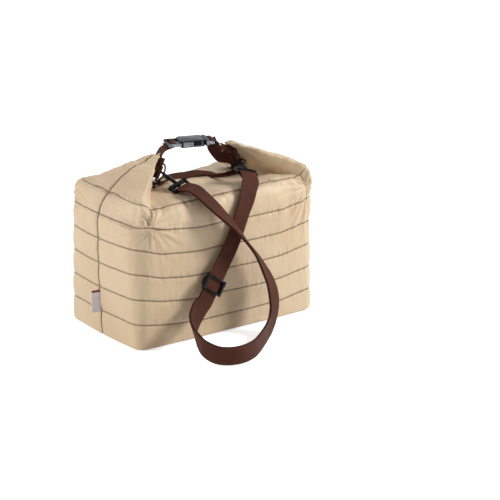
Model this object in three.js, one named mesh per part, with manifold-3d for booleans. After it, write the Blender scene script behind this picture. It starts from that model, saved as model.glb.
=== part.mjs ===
// Insulated roll-top bag with a shoulder strap, in millimetres.
// +X runs along the long side, -Y is the front and +Z is up. The origin is the centre of the base's
// underside. A quilted shell stands round a foam tub and a foil liner. Its mouth is rolled along the
// top and both ends of the roll are drawn up into ears, which a side-release buckle holds together.
import * as THREE from 'three';
import { mergeVertices } from 'three/addons/utils/BufferGeometryUtils.js';
import Module from 'manifold-3d';

const wasm = await Module();
wasm.setup();

const v3 = (x, y, z) => new THREE.Vector3(x, y, z);

// Driving dimensions
const gap = 0.3; // between pieces that touch
const bagLength = 356; // between the ends, at the sewn lines
const bagDepth = 204; // between front and back, at the sewn lines
const channelHeight = 40; // from one quilting line to the next
const channelCount = 6; // channels from the base to the top edge
const channelPuff = 2.4; // how far the padding stands out between two lines
const shellThickness = 3;
const baseThickness = 3;
const baseEdgeRadius = 6;
const baseCornerRadius = 15;
const topCornerRadius = 32;
const endBulge = 10;
const frontBulge = 4;
const foamThickness = 5;
const linerThickness = 0.8;
const tubDrop = 8; // from the shoulder down to the rim of the foam tub
const shoulderDrop = 38; // from the top edge down to where the walls start to round over
const peakReach = 64; // of an ear's peak from the middle
const peakRise = 51; // of an ear's peak over the top edge
const valleyReach = 94; // of the foot of an ear's inner side from the middle
const valleyDrop = 3; // of that foot under the top edge
const ridgeRise = 6; // of the middle of the ridge over the top edge
const ridgeTilt = 5; // the ridge rises this much on its left half and falls as much on its right
const roofSag = 26; // of the control point that hollows the roof panels
const rollWidth = 26;
const rollHeight = 8.5;
const webbingWidth = 30;
const webbingThickness = 1.6;
const wireRadius = 2; // of the bars that webbing goes round
const ringWireRadius = 1.6;
const ringWidth = 26; // inside a ring, along its straight bar
const ringDepth = 16; // inside a ring, across that bar
const tabWidth = 22;
const tabLength = 13;
const hookPlate = 5.4;
const hookLimb = 3.2;
const mouthRadius = 6.6;
const mouthLength = 15;
const nosePlay = 2; // between a ring's wire and the nose of its hook
const hookLength = 41; // from the ring's wire to the bar that the strap goes round
const gateHeight = 3;
const gatePlate = 3;
const leverReach = 7;
const pinRadius = 2.2;
const pinClearance = 0.4;
const buckleWidth = 38;
const buckleHeight = 11;
const socketLength = 42; // of the socket's hollow body
const socketFrame = 20; // of the open frame that its webbing goes round
const insertBase = 15.5; // of the insert that stays outside the socket
const buckleWall = 2.2;
const windowStart = 6; // from the socket's mouth to its side windows
const windowLength = 14;
const armReach = 23; // of an arm from its root into the socket
const armThickness = 3;
const tongueWidth = 9;
const sliderWidth = 40;
const sliderLength = 26;
const sliderBar = 3.6;
const labelHeight = 38;
const labelWidth = 14;
const labelThickness = 0.8;
const labelFoot = 42; // of the label's lower edge over the base

// Sizes that follow from them
const topEdge = channelHeight * channelCount;
const shoulder = topEdge - shoulderDrop;
const tubHeight = shoulder - tubDrop;
const halfLength = bagLength / 2;
const halfDepth = bagDepth / 2;
const ridgeHeight = topEdge + ridgeRise;
const valleyHeight = topEdge - valleyDrop;
const rollReach = valleyReach - 20;
const peakHeight = topEdge + peakRise;
const quiltTurn = 0.27; // share of the way up the roof panels where the last quilting line lies

// Colours
const sand = { color: 0xd4bc94, roughness: 0.62, metalness: 0 };
const brown = { color: 0x51302a, roughness: 0.8, metalness: 0 };
const black = { color: 0x15171b, roughness: 0.38, metalness: 0 };
const foam = { color: 0xe8e6e0, roughness: 0.9, metalness: 0 };
const foil = { color: 0xbfc2c6, roughness: 0.3, metalness: 0.8 };
const labelWhite = { color: 0xe4dfe6, roughness: 0.7, metalness: 0 };

const bag = new THREE.Group();

function addNode(name, shape, finish) {
  const mesh = new THREE.Mesh(toGeometry(shape), new THREE.MeshStandardMaterial(finish));
  mesh.name = name;
  bag.add(mesh);
}

// A frame from an origin, an x axis and a rough y axis
function frameAt(origin, along, towards) {
  const x = along.clone().normalize();
  const y = towards.clone().addScaledVector(x, -towards.dot(x)).normalize();
  return { origin: origin.clone(), x, y, z: x.clone().cross(y) };
}

function place(frame, x, y, z) {
  return frame.origin.clone().addScaledVector(frame.x, x).addScaledVector(frame.y, y)
    .addScaledVector(frame.z, z);
}

// Moves a solid from a frame's own axes to the bag's
function seat(frame, part) {
  const move = new THREE.Matrix4().makeBasis(frame.x, frame.y, frame.z).setPosition(frame.origin);
  return solid(toGeometry(part).applyMatrix4(move));
}

// Solids, joins and cuts
function solid(geometry) {
  const bare = geometry.index ? geometry.toNonIndexed() : geometry.clone();
  bare.deleteAttribute('normal');
  bare.deleteAttribute('uv');
  const merged = mergeVertices(bare, 1e-4);
  const corners = merged.index.array;
  const kept = [];
  for (let i = 0; i < corners.length; i += 3) {
    const [a, b, c] = [corners[i], corners[i + 1], corners[i + 2]];
    if (a !== b && b !== c && c !== a) kept.push(a, b, c);
  }
  const vertProperties = Float32Array.from(merged.attributes.position.array);
  const facing = (triVerts) => new wasm.Manifold(new wasm.Mesh({ numProp: 3, vertProperties, triVerts }));
  const body = facing(Uint32Array.from(kept));
  return body.volume() < 0 ? facing(Uint32Array.from(kept.reverse())) : body;
}

function toGeometry(manifold) {
  const mesh = manifold.getMesh();
  const geometry = new THREE.BufferGeometry();
  geometry.setAttribute('position', new THREE.BufferAttribute(Float32Array.from(mesh.vertProperties), 3));
  geometry.setIndex(new THREE.BufferAttribute(Uint32Array.from(mesh.triVerts), 1));
  return geometry;
}

const join = (...parts) => parts.reduce((whole, part) => whole.add(part));
const cut = (whole, ...tools) => tools.reduce((rest, tool) => rest.subtract(tool), whole);

function block(x0, x1, y0, y1, z0, z1) {
  const box = new THREE.BoxGeometry(x1 - x0, y1 - y0, z1 - z0);
  return solid(box.translate((x0 + x1) / 2, (y0 + y1) / 2, (z0 + z1) / 2));
}

// A plate with a drawn outline, its thickness centred on the plane z = middle
function plate(shape, thickness, middle = 0, curveSegments = 8) {
  const settings = { depth: thickness, bevelEnabled: false, curveSegments };
  return solid(new THREE.ExtrudeGeometry(shape, settings).translate(0, 0, middle - thickness / 2));
}

function roundedRectangle(width, height, radius) {
  const shape = new THREE.Shape();
  const [w, h] = [width / 2, height / 2];
  shape.moveTo(-w + radius, -h);
  shape.lineTo(w - radius, -h).absarc(w - radius, -h + radius, radius, -Math.PI / 2, 0);
  shape.lineTo(w, h - radius).absarc(w - radius, h - radius, radius, 0, Math.PI / 2);
  shape.lineTo(-w + radius, h).absarc(-w + radius, h - radius, radius, Math.PI / 2, Math.PI);
  shape.lineTo(-w, -h + radius).absarc(-w + radius, -h + radius, radius, Math.PI, Math.PI * 1.5);
  return shape;
}

// A round bar along z, or a tube when it has a bore
function roundBar(radius, z0, z1, bore = 0, segments = 14) {
  const corners = [[bore, z0], [radius, z0], [radius, z1], [bore, z1]];
  if (bore > 0) corners.push([bore, z0]);
  const profile = corners.map(([r, z]) => new THREE.Vector2(r, z));
  return solid(new THREE.LatheGeometry(profile, segments).rotateX(Math.PI / 2));
}

// A skin through rings of points, closed on itself along its length or capped at both ends. One side
// can have its quads split along the other diagonal, so a twisted band keeps its thickness.
function loft(rings, closed = false, splitOther = -1) {
  const count = rings[0].length;
  const points = rings.flat();
  const triangles = [];
  const turns = closed ? rings.length : rings.length - 1;
  for (let i = 0; i < turns; i += 1) {
    for (let j = 0; j < count; j += 1) {
      const a = i * count + j;
      const b = i * count + ((j + 1) % count);
      const c = ((i + 1) % rings.length) * count + ((j + 1) % count);
      const d = ((i + 1) % rings.length) * count + j;
      if (j === splitOther) triangles.push([a, b, d], [b, c, d]);
      else triangles.push([a, b, c], [a, c, d]);
    }
  }
  if (!closed) {
    for (let j = 1; j < count - 1; j += 1) {
      triangles.push([0, j + 1, j]);
      const last = (rings.length - 1) * count;
      triangles.push([last, last + j, last + j + 1]);
    }
  }
  return skin(points, triangles);
}

function skin(points, triangles) {
  const positions = triangles.flat().flatMap((index) => points[index].toArray());
  const geometry = new THREE.BufferGeometry();
  geometry.setAttribute('position', new THREE.BufferAttribute(Float32Array.from(positions), 3));
  return solid(geometry);
}

// A round wire along a closed loop of points in the plane z = 0
function wireLoop(points, radius, sides = 7) {
  const rings = points.map((point, i) => {
    const before = points[(i + points.length - 1) % points.length];
    const after = points[(i + 1) % points.length];
    const along = after.clone().sub(before).normalize();
    const across = v3(along.y, -along.x, 0);
    return Array.from({ length: sides }, (_, k) => {
      const angle = (k / sides) * Math.PI * 2;
      return point.clone().addScaledVector(across, radius * Math.cos(angle))
        .add(v3(0, 0, radius * Math.sin(angle)));
    });
  });
  return loft(rings, true);
}

// A flat band through stations that each hold a centre, a width direction and a thickness direction
function ribbon(stations, width = webbingWidth, thickness = webbingThickness) {
  return loft(stations.map(({ centre, across, normal }) => [[-1, -1], [1, -1], [1, 1], [-1, 1]]
    .map(([a, n]) => centre.clone().addScaledVector(across, (a * width) / 2)
      .addScaledVector(normal, (n * thickness) / 2))), false, 2);
}

// Stations along a smooth route through points that are given with their width directions
function route(list, count, shift = 0, from = 0, to = 1) {
  const line = new THREE.CatmullRomCurve3(list.map(([point]) => point), false, 'centripetal');
  const widths = new THREE.CatmullRomCurve3(list.map(([, across]) => across), false, 'centripetal');
  return Array.from({ length: count + 1 }, (_, i) => {
    const u = from + ((to - from) * i) / count;
    const along = line.getTangent(u);
    const across = widths.getPoint(u);
    across.addScaledVector(along, -across.dot(along)).normalize();
    const normal = along.clone().cross(across);
    return { centre: line.getPoint(u).addScaledVector(normal, shift), across, normal };
  });
}

// The bag's outer form. A point is found by its place round a quarter of the outline, from 0 at the
// middle of the end to 1 at the middle of the front or back, and by its height or its turn.
const endShare = 0.3;
const foldShare = 0.38;
const pinchShare = 0.44;
const cornerShare = 0.5;

function outline(v, height, inset = 0) {
  const share = Math.min(height / topEdge, 1);
  const radius = THREE.MathUtils.lerp(baseCornerRadius, topCornerRadius, share) - inset * 0.5;
  const low = Math.max(0, baseEdgeRadius - height);
  const tuck = baseEdgeRadius - Math.sqrt(baseEdgeRadius ** 2 - low ** 2);
  const [hx, hy] = [halfLength - inset - tuck, halfDepth - inset - tuck];
  const swell = 0.45 + 0.55 * THREE.MathUtils.smoothstep(height, 0, topEdge * 0.45);
  const point = v3(hx, 0, height);
  if (v <= endShare) {
    point.y = -(hy - radius) * (v / endShare);
  } else if (v < cornerShare) {
    const angle = ((v - endShare) / (cornerShare - endShare)) * (Math.PI / 2);
    point.x = hx - radius + radius * Math.cos(angle);
    point.y = -(hy - radius) - radius * Math.sin(angle);
  } else {
    point.x = (hx - radius) * (1 - (v - cornerShare) / (1 - cornerShare));
    point.y = -hy;
  }
  const [along, aside] = [point.x / hx, point.y / hy];
  point.x += endBulge * swell * (1 - aside ** 2) * along ** 3;
  point.y -= frontBulge * swell * (1 - along ** 2);
  return point;
}

// Four curves rise from the wall to the ridge line: the end's seam, the ear's outer fold, the crease
// at the foot of the ear's inner side, and the middle of the roof
const peak = v3(peakReach, 0, peakHeight);
const valley = v3(valleyReach, 0, valleyHeight);
const ridgeMiddle = v3(0, 0, ridgeHeight);
const top = (x, y, rise) => v3(x, y, topEdge + rise); // a point this far over the top edge
const through = (...points) => new THREE.CatmullRomCurve3(points, false, 'centripetal');
const bezier = (a, b, c, d) => new THREE.CubicBezierCurve3(a, b, c, d);

function roofCurves(side, face) {
  const [seamFoot, foldFoot, pinch, middleFoot] = [0, foldShare, pinchShare, 1]
    .map((v) => outline(v, shoulder));
  const folds = {
    leftFront: [top(162, -97, -32), top(158, -95, -18), top(157, -90, 1), top(138, -69, 17),
      top(113, -45, 32), top(90, -23, 44)],
    rightFront: [top(172, -99, -14), top(166, -98, 7), top(146, -81, 22), top(112, -60, 35),
      top(82, -31, 47)],
    back: [top(166, -92, -18), top(160, -88, -2), top(148, -60, 11), top(125, -37, 27), top(88, -14, 46)],
  };
  const creases = {
    leftFront: [top(157, -100, -31), top(149, -92, -15), top(128, -58, -5), top(108, -26, -5)],
    rightFront: [top(160, -96, -22), top(154, -86, -4), top(131, -53, -5), top(108, -25, -7)],
    back: [top(160, -95, -28), top(150, -84, -10), top(128, -52, -5), top(108, -25, -6)],
  };
  const place = face > 0 ? 'back' : `${side}Front`;
  return {
    lift: side === 'left' ? ridgeTilt : -ridgeTilt,
    seam: bezier(seamFoot, v3(seamFoot.x - 6, 0, topEdge + 8), v3(peakReach + 56, 0, peakHeight - 8), peak),
    fold: through(foldFoot, ...folds[place], peak),
    crease: through(pinch, ...creases[place], valley),
    middle: bezier(
      middleFoot,
      v3(0, middleFoot.y + 1, topEdge + 24),
      v3(0, -halfDepth * 0.62, topEdge - roofSag),
      ridgeMiddle,
    ),
  };
}

// A point of the roof and ears: straight between the four curves, with what the wall's outline adds
function roofPoint(curves, v, turn) {
  const [seam, fold, crease, middle] = ['seam', 'fold', 'crease', 'middle']
    .map((name) => curves[name].getPointAt(turn));
  const spans = [[0, foldShare, seam, fold], [foldShare, pinchShare, fold, crease],
    [pinchShare, 1, crease, middle]];
  const [v0, v1, start, end] = spans.find((span) => v <= span[1]);
  const share = (v - v0) / (v1 - v0);
  const wall = outline(v, shoulder);
  const chord = outline(v0, shoulder).lerp(outline(v1, shoulder), share);
  const fade = (1 - turn) ** 1.5;
  const point = start.clone().lerp(end, share).addScaledVector(wall.sub(chord), fade);
  if (v > pinchShare) point.z += curves.lift * (Math.sin(Math.PI * share) * turn) ** 2;
  return point;
}

const wallSamples = [0, 0.1, 0.2, 0.3, 0.34, 0.38, 0.4, 0.42, 0.44, 0.47, 0.5, 0.57, 0.67, 0.78, 0.89, 1];
const channelRows = [0, 0.2, 0.5, 0.8];

// Height over the base, measured along the cloth, for each row of a half of the bag
function halfRows() {
  const rows = [];
  for (let channel = 0; channel * channelHeight < shoulder; channel += 1) {
    for (const share of channelRows) {
      const height = (channel + share) * channelHeight;
      if (height < shoulder) rows.push({ height, puffed: share });
    }
  }
  rows.splice(1, 0, { height: baseEdgeRadius * 0.4, puffed: 0 });
  const turns = [0, 0.09, 0.18, quiltTurn, 0.36, 0.46, 0.56, 0.66, 0.76, 0.86, 0.94, 1];
  const left = (shoulder / channelHeight) % 1;
  for (const turn of turns) {
    const puffed = turn < quiltTurn ? left + (1 - left) * (turn / quiltTurn) : 0;
    rows.push({ turn, puffed });
  }
  return rows;
}

// Rounds the folds of the ears by moving each point towards its neighbours round the outline
function soften(row, times) {
  let points = row;
  for (let k = 0; k < times; k += 1) {
    points = points.map((point, i) => {
      if (i === 0 || i === points.length - 1) return point;
      return point.clone().lerp(points[i - 1].clone().add(points[i + 1]).multiplyScalar(0.5), 0.5);
    });
  }
  return points;
}

// One half of the bag as a closed solid: face is -1 for the front and 1 for the back
function halfBag(face) {
  const rows = halfRows();
  const quarter = (row, curves) => {
    const points = wallSamples.map((v) => (row.turn === undefined
      ? outline(v, row.height) : roofPoint(curves, v, row.turn)));
    return row.turn > 0 && row.turn < 1 ? soften(points, 1) : points;
  };
  const [leftCurves, rightCurves] = [roofCurves('left', face), roofCurves('right', face)];
  const grid = rows.map((row) => {
    const left = quarter(row, leftCurves).slice(0, -1).map((point) => v3(-point.x, point.y, point.z));
    return [...left, ...quarter(row, rightCurves).reverse()];
  });
  const puffed = grid.map((line, i) => line.map((point, j) => {
    const beside = line[Math.min(j + 1, line.length - 1)].clone().sub(line[Math.max(j - 1, 0)]);
    const above = grid[Math.min(i + 1, grid.length - 1)][j].clone().sub(grid[Math.max(i - 1, 0)][j]);
    const outward = beside.cross(above).normalize();
    if (j === 0 || j === line.length - 1) outward.y = 0;
    const rise = channelPuff * Math.sin(Math.PI * rows[i].puffed) ** 0.7;
    return point.clone().addScaledVector(outward, rise);
  }));
  return closeHalf(puffed, face);
}

// Closes a half's skin with a flat wall where it meets the other half and a flat bottom
function closeHalf(grid, face) {
  const [rows, columns] = [grid.length, grid[0].length];
  const points = grid.flat();
  const at = (i, j) => i * columns + j;
  const triangles = [];
  for (let i = 0; i < rows - 1; i += 1) {
    for (let j = 0; j < columns - 1; j += 1) {
      triangles.push([at(i, j), at(i, j + 1), at(i + 1, j + 1)], [at(i, j), at(i + 1, j + 1), at(i + 1, j)]);
    }
  }
  const bottom = Array.from({ length: columns }, (_, j) => at(0, j));
  const upLeft = Array.from({ length: rows }, (_, i) => at(i, 0));
  const top = Array.from({ length: columns - 2 }, (_, j) => at(rows - 1, j + 1));
  const downRight = Array.from({ length: rows }, (_, i) => at(rows - 1 - i, columns - 1));
  triangles.push(...capTriangles(points, bottom, 'x', 'y'));
  triangles.push(...capTriangles(points, [...upLeft, ...top, ...downRight], 'x', 'z'));
  return skin(points.map((point) => v3(point.x, -face * point.y, point.z)), triangles);
}

function capTriangles(points, loop, across, up) {
  const kept = loop.filter((index, i) => i === 0 || points[index].distanceTo(points[loop[i - 1]]) > 1e-3);
  const flat = kept.map((index) => new THREE.Vector2(points[index][across], points[index][up]));
  return THREE.ShapeUtils.triangulateShape(flat, []).map((corners) => {
    const [a, b, c] = corners.map((corner) => flat[corner]);
    const turn = (b.x - a.x) * (c.y - a.y) - (b.y - a.y) * (c.x - a.x);
    const order = turn > 0 ? [corners[0], corners[2], corners[1]] : corners;
    return order.map((corner) => kept[corner]);
  });
}

// Closed rings of the outline at each level, joined into a solid that fits inside the shell
const ringSamples = [0, 0.16, 0.3, 0.37, 0.44, 0.5, 0.75];

function fullRing(height, inset, z = height) {
  const quarter = ringSamples.map((v) => outline(v, height, inset));
  const middle = outline(1, height, inset);
  const front = [...quarter, middle, ...quarter.slice(1).reverse().map((p) => v3(-p.x, p.y, 0))];
  const back = [...quarter.map((p) => v3(-p.x, -p.y, 0)), v3(0, -middle.y, 0),
    ...quarter.slice(1).reverse().map((p) => v3(p.x, -p.y, 0))];
  return [...front, ...back].map((point) => v3(point.x, point.y, z));
}

const levels = [0, baseThickness + gap, baseEdgeRadius, 30, 60, 108, tubHeight, shoulder];

function filling(inset, from, to) {
  const inner = levels.filter((level) => level > from && level < to);
  return [from, ...inner, to].map((level) => fullRing(level, inset));
}

// Shell, base and inner layers
const cavity = loft([
  fullRing(0, shellThickness, -5),
  ...filling(shellThickness, 0, shoulder),
  fullRing(shoulder, shellThickness + 6, shoulder + 8),
  fullRing(shoulder, shellThickness + 20, shoulder + 13),
  fullRing(shoulder, shellThickness + 45, shoulder + 16),
]);

function tub(inset, thickness, floor, top) {
  const outer = loft(filling(inset, floor, top));
  const wall = inset + thickness;
  const inner = loft([...filling(wall, floor + thickness, top), fullRing(top, wall, top + 5)]);
  return cut(outer, inner);
}

// Rolled mouth: the roll lies along the ridge and its webbing goes on up the inner sides of the ears
function ridgeAt(x) {
  const share = Math.abs(x) / valleyReach;
  const tilt = Math.sign(x) * ridgeTilt * Math.sin(Math.PI * share) ** 2;
  return ridgeHeight - (ridgeHeight - valleyHeight) * share - tilt;
}

const bandOff = gap + webbingThickness / 2;
const rollLift = bandOff + webbingThickness / 2 + 2 * gap + rollHeight / 2;
const rollBack = 3; // the roll lies this far behind the middle of its webbing
const earShare = (share, off) => {
  const rise = v3(peakReach - valleyReach, 0, peakHeight - valleyHeight).normalize();
  const inward = v3(-rise.z, 0, rise.x);
  return valley.clone().lerp(peak, share).addScaledVector(inward, off);
};

function rollRing(x, grow) {
  const reach = rollReach + grow;
  const slim = Math.sqrt(Math.max(0.05, 1 - (Math.max(0, Math.abs(x) - reach + 8) / 8) ** 2));
  const [w, h] = [(rollWidth / 2 + grow) * (0.6 + 0.4 * slim), (rollHeight / 2 + grow) * slim];
  return Array.from({ length: 14 }, (_, k) => {
    const angle = (k / 14) * Math.PI * 2;
    const [c, s] = [Math.cos(angle), Math.sin(angle)];
    const y = w * Math.sign(c) * Math.abs(c) ** 0.7;
    return v3(x, y + rollBack, ridgeAt(x) + rollLift + h * Math.sign(s) * Math.abs(s) ** 0.8);
  });
}

function rollSolid(grow) {
  const reach = rollReach + grow;
  const stations = [-1, -0.985, -0.95, -0.9, -0.65, -0.42, -0.2, 0, 0.2, 0.42, 0.65, 0.9, 0.95, 0.985, 1];
  return loft(stations.map((share) => rollRing(share * reach, grow)));
}

function mouthRoute() {
  const half = (side) => [
    ...[20, 40, 60, 78].map((x) => v3(x, 0, ridgeAt(side * x) + bandOff)),
    v3(valleyReach - 9, 0, valleyHeight + 2.8), v3(valleyReach - 5, 0, valleyHeight + 3),
    v3(valleyReach - 3.6, 0, valleyHeight + 5.4),
    ...[0.17, 0.3, 0.55, 0.9].map((share) => earShare(share, bandOff)),
  ].map((point) => point.setX(side * point.x));
  const middle = v3(0, 0, ridgeHeight + bandOff - 0.4);
  return [...half(-1).reverse(), middle, ...half(1)].map((point) => [point, v3(0, 1, 0)]);
}

const mouthStations = route(mouthRoute(), 44);
const label = (grow) => {
  const seam = v3(-halfLength - endBulge * 0.74, 0, labelFoot + labelHeight / 2);
  const frame = frameAt(seam, v3(-1, 0.12, 0), v3(0, 0, 1));
  const [l, h, t] = [labelWidth + 3, labelHeight / 2, labelThickness / 2];
  return seat(frame, block(0, l, -h - grow, h + grow, -t - grow, t + grow));
};
const seatCuts = [
  cavity,
  rollSolid(gap),
  ribbon(mouthStations, webbingWidth + 2 * gap, webbingThickness + 2 * gap),
  label(gap),
  block(-300, 300, -gap / 2, gap / 2, -10, 400),
];

addNode('front_shell', cut(halfBag(-1), ...seatCuts), sand);
addNode('back_shell', cut(halfBag(1), ...seatCuts), sand);
const foamInset = shellThickness + gap;
addNode('base_panel', loft([fullRing(0, foamInset), fullRing(0, foamInset, baseThickness)]), brown);
const foamFloor = baseThickness + gap;
addNode('insulation_tub', tub(foamInset, foamThickness, foamFloor, tubHeight), foam);
const linerInset = foamInset + foamThickness + gap;
addNode('foil_liner', tub(linerInset, linerThickness, foamFloor + foamThickness + gap, tubHeight), foil);
addNode('rolled_mouth', rollSolid(0), sand);
addNode('mouth_webbing', ribbon(mouthStations), brown);
addNode('label_tag', label(0), labelWhite);

// A path in a frame's own x and z, with the band's width along its y
function wrapIn(frame, list) {
  return list.map(([x, z]) => [place(frame, x, 0, z), frame.y.clone()]);
}

// Points that carry webbing round a bar of the wire's size, by angle from the band's free side
const turnRadius = wireRadius + gap + webbingThickness / 2 + 0.1;
const plyGap = webbingThickness + gap;
function turnRound(...degrees) {
  return degrees.map((degree) => {
    const angle = THREE.MathUtils.degToRad(degree);
    return [turnRadius * Math.cos(angle), turnRadius * Math.sin(angle)];
  });
}

// Rings, their tabs, hooks, gates and swivel eyes, one set for each ear
const slope = v3(peakReach - valleyReach, 0, peakHeight - valleyHeight).normalize();
const leftEar = (share, off) => earShare(share, off).multiply(v3(-1, 1, 1));
const sets = [
  {
    side: 'left',
    bar: leftEar(0.5146, 8.19).setY(-4),
    along: v3(slope.x * -1, 0, slope.z),
    towards: v3(-0.12, -0.99, 0.07),
    hang: v3(8.4, -53, -15.8),
    eyeWidth: v3(0.95, 0.2, 0.22),
  },
  {
    side: 'right',
    bar: earShare(0.5664, 0.57).setY(-21),
    along: v3(-slope.x, 0, -slope.z),
    towards: v3(-0.417, -0.882, -0.22),
    hang: v3(-20.2, -53.8, -13.6),
    eyeWidth: v3(0.8, -0.5, -0.33),
  },
];

function ringWire() {
  const [half, depth] = [ringWidth / 2 + wireRadius, ringDepth + wireRadius];
  const start = 3.4;
  const points = [v3(-half + 3, 0, 0), v3(0, 0, 0), v3(half - 3, 0, 0), v3(half - 0.8, 1, 0)];
  points.push(v3(half, start, 0));
  for (let k = 1; k < 12; k += 1) {
    const angle = (Math.PI * k) / 12;
    points.push(v3(half * Math.cos(angle), start + (depth - start) * Math.sin(angle), 0));
  }
  points.push(v3(-half, start, 0), v3(-half + 0.8, 1, 0));
  return wireLoop(points, ringWireRadius);
}

function tabBand(frame) {
  const off = frame.origin.clone().setX(Math.abs(frame.origin.x)).sub(valley);
  const barHeight = off.dot(v3(-slope.z, 0, slope.x)) - bandOff;
  const [low, high] = [plyGap - barHeight, 2 * plyGap - barHeight];
  const end = -tabLength - 3;
  const over = barHeight > 3;
  const list = [
    [end, low], [end + 3, low], [-9, low], over ? [-5, low] : [-5.4, low - 0.1],
    ...turnRound(...(over ? [-90, -50, -10, 30, 70, 105] : [-165, -120, -80, -40, 0, 40, 80])),
    [-4, over ? 1.7 : 3.2], [over ? -6.6 : -7, over ? 0.2 : high], [-10, high], [end + 3, high], [end, high],
  ];
  return ribbon(route(wrapIn(frame, list), list.length * 2), tabWidth);
}

// A round bar along y at a place on x
function crossBar(x, radius, half) {
  return roundBar(radius, -half, half, 0, 12).rotate([90, 0, 0]).translate([x, 0, 0]);
}

// A round bar along x from one place to another
function alongX(x0, x1, radius, segments) {
  return roundBar(radius, 0, x1 - x0, 0, segments).rotate([0, 90, 0]).translate([x0, 0, 0]);
}

const pinHole = (x, y, radius, half) => roundBar(radius, -half, half).translate([x, y, 0]);
const mouthFrom = mouthRadius - wireRadius - nosePlay;
const mouthTo = mouthFrom + mouthLength - 2 * mouthRadius;
const gatePivot = [mouthTo + mouthRadius - 1, mouthRadius + 1.4];
const gateTip = mouthFrom - 2.4;
const stemEnd = hookLength - 13;
const cheek = hookPlate / 2;

function stadium(from, to, radius) {
  const shape = new THREE.Shape();
  shape.absarc(to, 0, radius, -Math.PI / 2, Math.PI / 2);
  shape.absarc(from, 0, radius, Math.PI / 2, Math.PI * 1.5);
  return shape;
}

// The limb that closes round the mouth: a round bar bent into a long ring
function hookLoop() {
  const reach = mouthRadius + hookLimb / 2;
  const halfTurn = (x, start) => Array.from({ length: 8 }, (_, k) => {
    const angle = start + (Math.PI * k) / 7;
    return v3(x + reach * Math.cos(angle), reach * Math.sin(angle), 0);
  });
  return wireLoop([...halfTurn(mouthTo, -Math.PI / 2), ...halfTurn(mouthFrom, Math.PI / 2)], hookLimb / 2, 8);
}

function hookBody() {
  const [px, py] = gatePivot;
  const mouth = plate(stadium(mouthFrom, mouthTo, mouthRadius), hookPlate + 2);
  const stem = block(mouthTo + mouthRadius, stemEnd, -4.2, py - 2.6, -cheek, cheek);
  const knuckle = roundBar(3.6, -cheek, cheek, 0, 16).translate([...gatePivot, 0]);
  const pin = alongX(stemEnd - 1, stemEnd + 7, pinRadius, 14);
  const head = alongX(stemEnd + 6, stemEnd + 7.8, pinRadius + 1.3, 16);
  const slot = block(gateTip - 0.6, gatePivot[0] + 1.2, mouthRadius - 2.6, 20, -9, 9);
  const fork = gatePlate / 2 + gap;
  const gateRoom = block(px - 6, px + 6, py - 3.4, py + 6, -fork, fork);
  const gatePin = pinHole(...gatePivot, 1.1, cheek - 0.4);
  const limb = cut(join(hookLoop(), knuckle), slot);
  return join(cut(join(limb, stem, cut(knuckle, mouth)), gateRoom), gatePin, pin, head);
}

function gateBody() {
  const [px, py] = gatePivot;
  const bar = block(gateTip, px, py - gateHeight / 2, py + gateHeight / 2, -gatePlate / 2, gatePlate / 2);
  const knuckle = roundBar(2.7, -gatePlate / 2, gatePlate / 2, 0, 14).translate([px, py, 0]);
  const lever = block(px - 8, px - 4.6, py, py + leverReach, -gatePlate / 2, gatePlate / 2);
  const knob = roundBar(2.4, -gatePlate / 2, gatePlate / 2, 0, 12).translate([px - 6.3, py + leverReach, 0]);
  return cut(join(bar, knuckle, lever, knob), pinHole(px, py, 1.4, 9));
}

const eyeHalf = webbingWidth / 2 + 0.6;
function eyeBody() {
  const from = stemEnd + gap;
  const rail = 3.2;
  const barrel = block(from, from + 5.2, -eyeHalf - rail, eyeHalf + rail, -3.4, 3.4);
  const rails = [-eyeHalf - rail, eyeHalf].map((y) => (
    block(from, hookLength + wireRadius, y, y + rail, -wireRadius, wireRadius)));
  const bar = crossBar(hookLength, wireRadius, eyeHalf + 1);
  const bore = alongX(stemEnd - 5, stemEnd + 25, pinRadius + pinClearance, 16);
  return cut(join(barrel, ...rails, bar), bore);
}

for (const set of sets) {
  const ring = frameAt(set.bar, set.along, set.towards);
  const inward = ring.x.clone().cross(v3(0, -1, 0));
  const outwards = v3(set.side === 'left' ? slope.z : -slope.z, 0, -Math.abs(slope.x));
  const tab = { origin: set.bar.clone(), x: v3(0, -1, 0), y: ring.x.clone(), z: outwards.normalize() };
  if (inward.dot(tab.z) > 0) tab.y.negate();
  const wire = place(ring, 0, ringDepth + wireRadius, 0);
  const along = set.bar.clone().add(set.hang).sub(wire).normalize();
  const hook = frameAt(wire, along, along.clone().cross(ring.x).multiplyScalar(-1));
  const eye = frameAt(wire, along, set.eyeWidth);
  set.eyeFrame = eye;
  set.eyeBar = place(eye, hookLength, 0, 0);
  addNode(`ring_tab_${set.side}`, tabBand(tab), brown);
  addNode(`d_ring_${set.side}`, seat(ring, ringWire()), black);
  addNode(`hook_${set.side}`, seat(hook, hookBody()), black);
  addNode(`gate_${set.side}`, seat(hook, gateBody()), black);
  addNode(`swivel_eye_${set.side}`, seat(eye, eyeBody()), black);
}

// Buckle: its frame starts at the socket's outer end, x runs to the insert and y across
const buckle = frameAt(top(-48, 8.5, 62.8), v3(0.93, -0.37, 0.02), v3(0.37, 0.93, 0));
const mouthAt = socketFrame + socketLength;
const halfBuckle = buckleWidth / 2;
const halfCavity = halfBuckle - buckleWall;
const barAt = 12;
const insertBar = mouthAt + insertBase - 1.6;
const armPivot = [mouthAt + 6, 13.6];
const windowEnd = mouthAt - windowStart;

function beveled(shape, thickness, bevel) {
  const edge = { bevelThickness: bevel, bevelSize: bevel, bevelOffset: -bevel, bevelSegments: 1 };
  const settings = { depth: thickness - 2 * bevel, curveSegments: 4, ...edge };
  return solid(new THREE.ExtrudeGeometry(shape, settings).translate(0, 0, bevel - thickness / 2));
}

// A pair of blocks, one each side of the middle, from one distance to the other
function pair(x0, x1, near, far, half) {
  return [block(x0, x1, near, far, -half, half), block(x0, x1, -far, -near, -half, half)];
}

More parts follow.
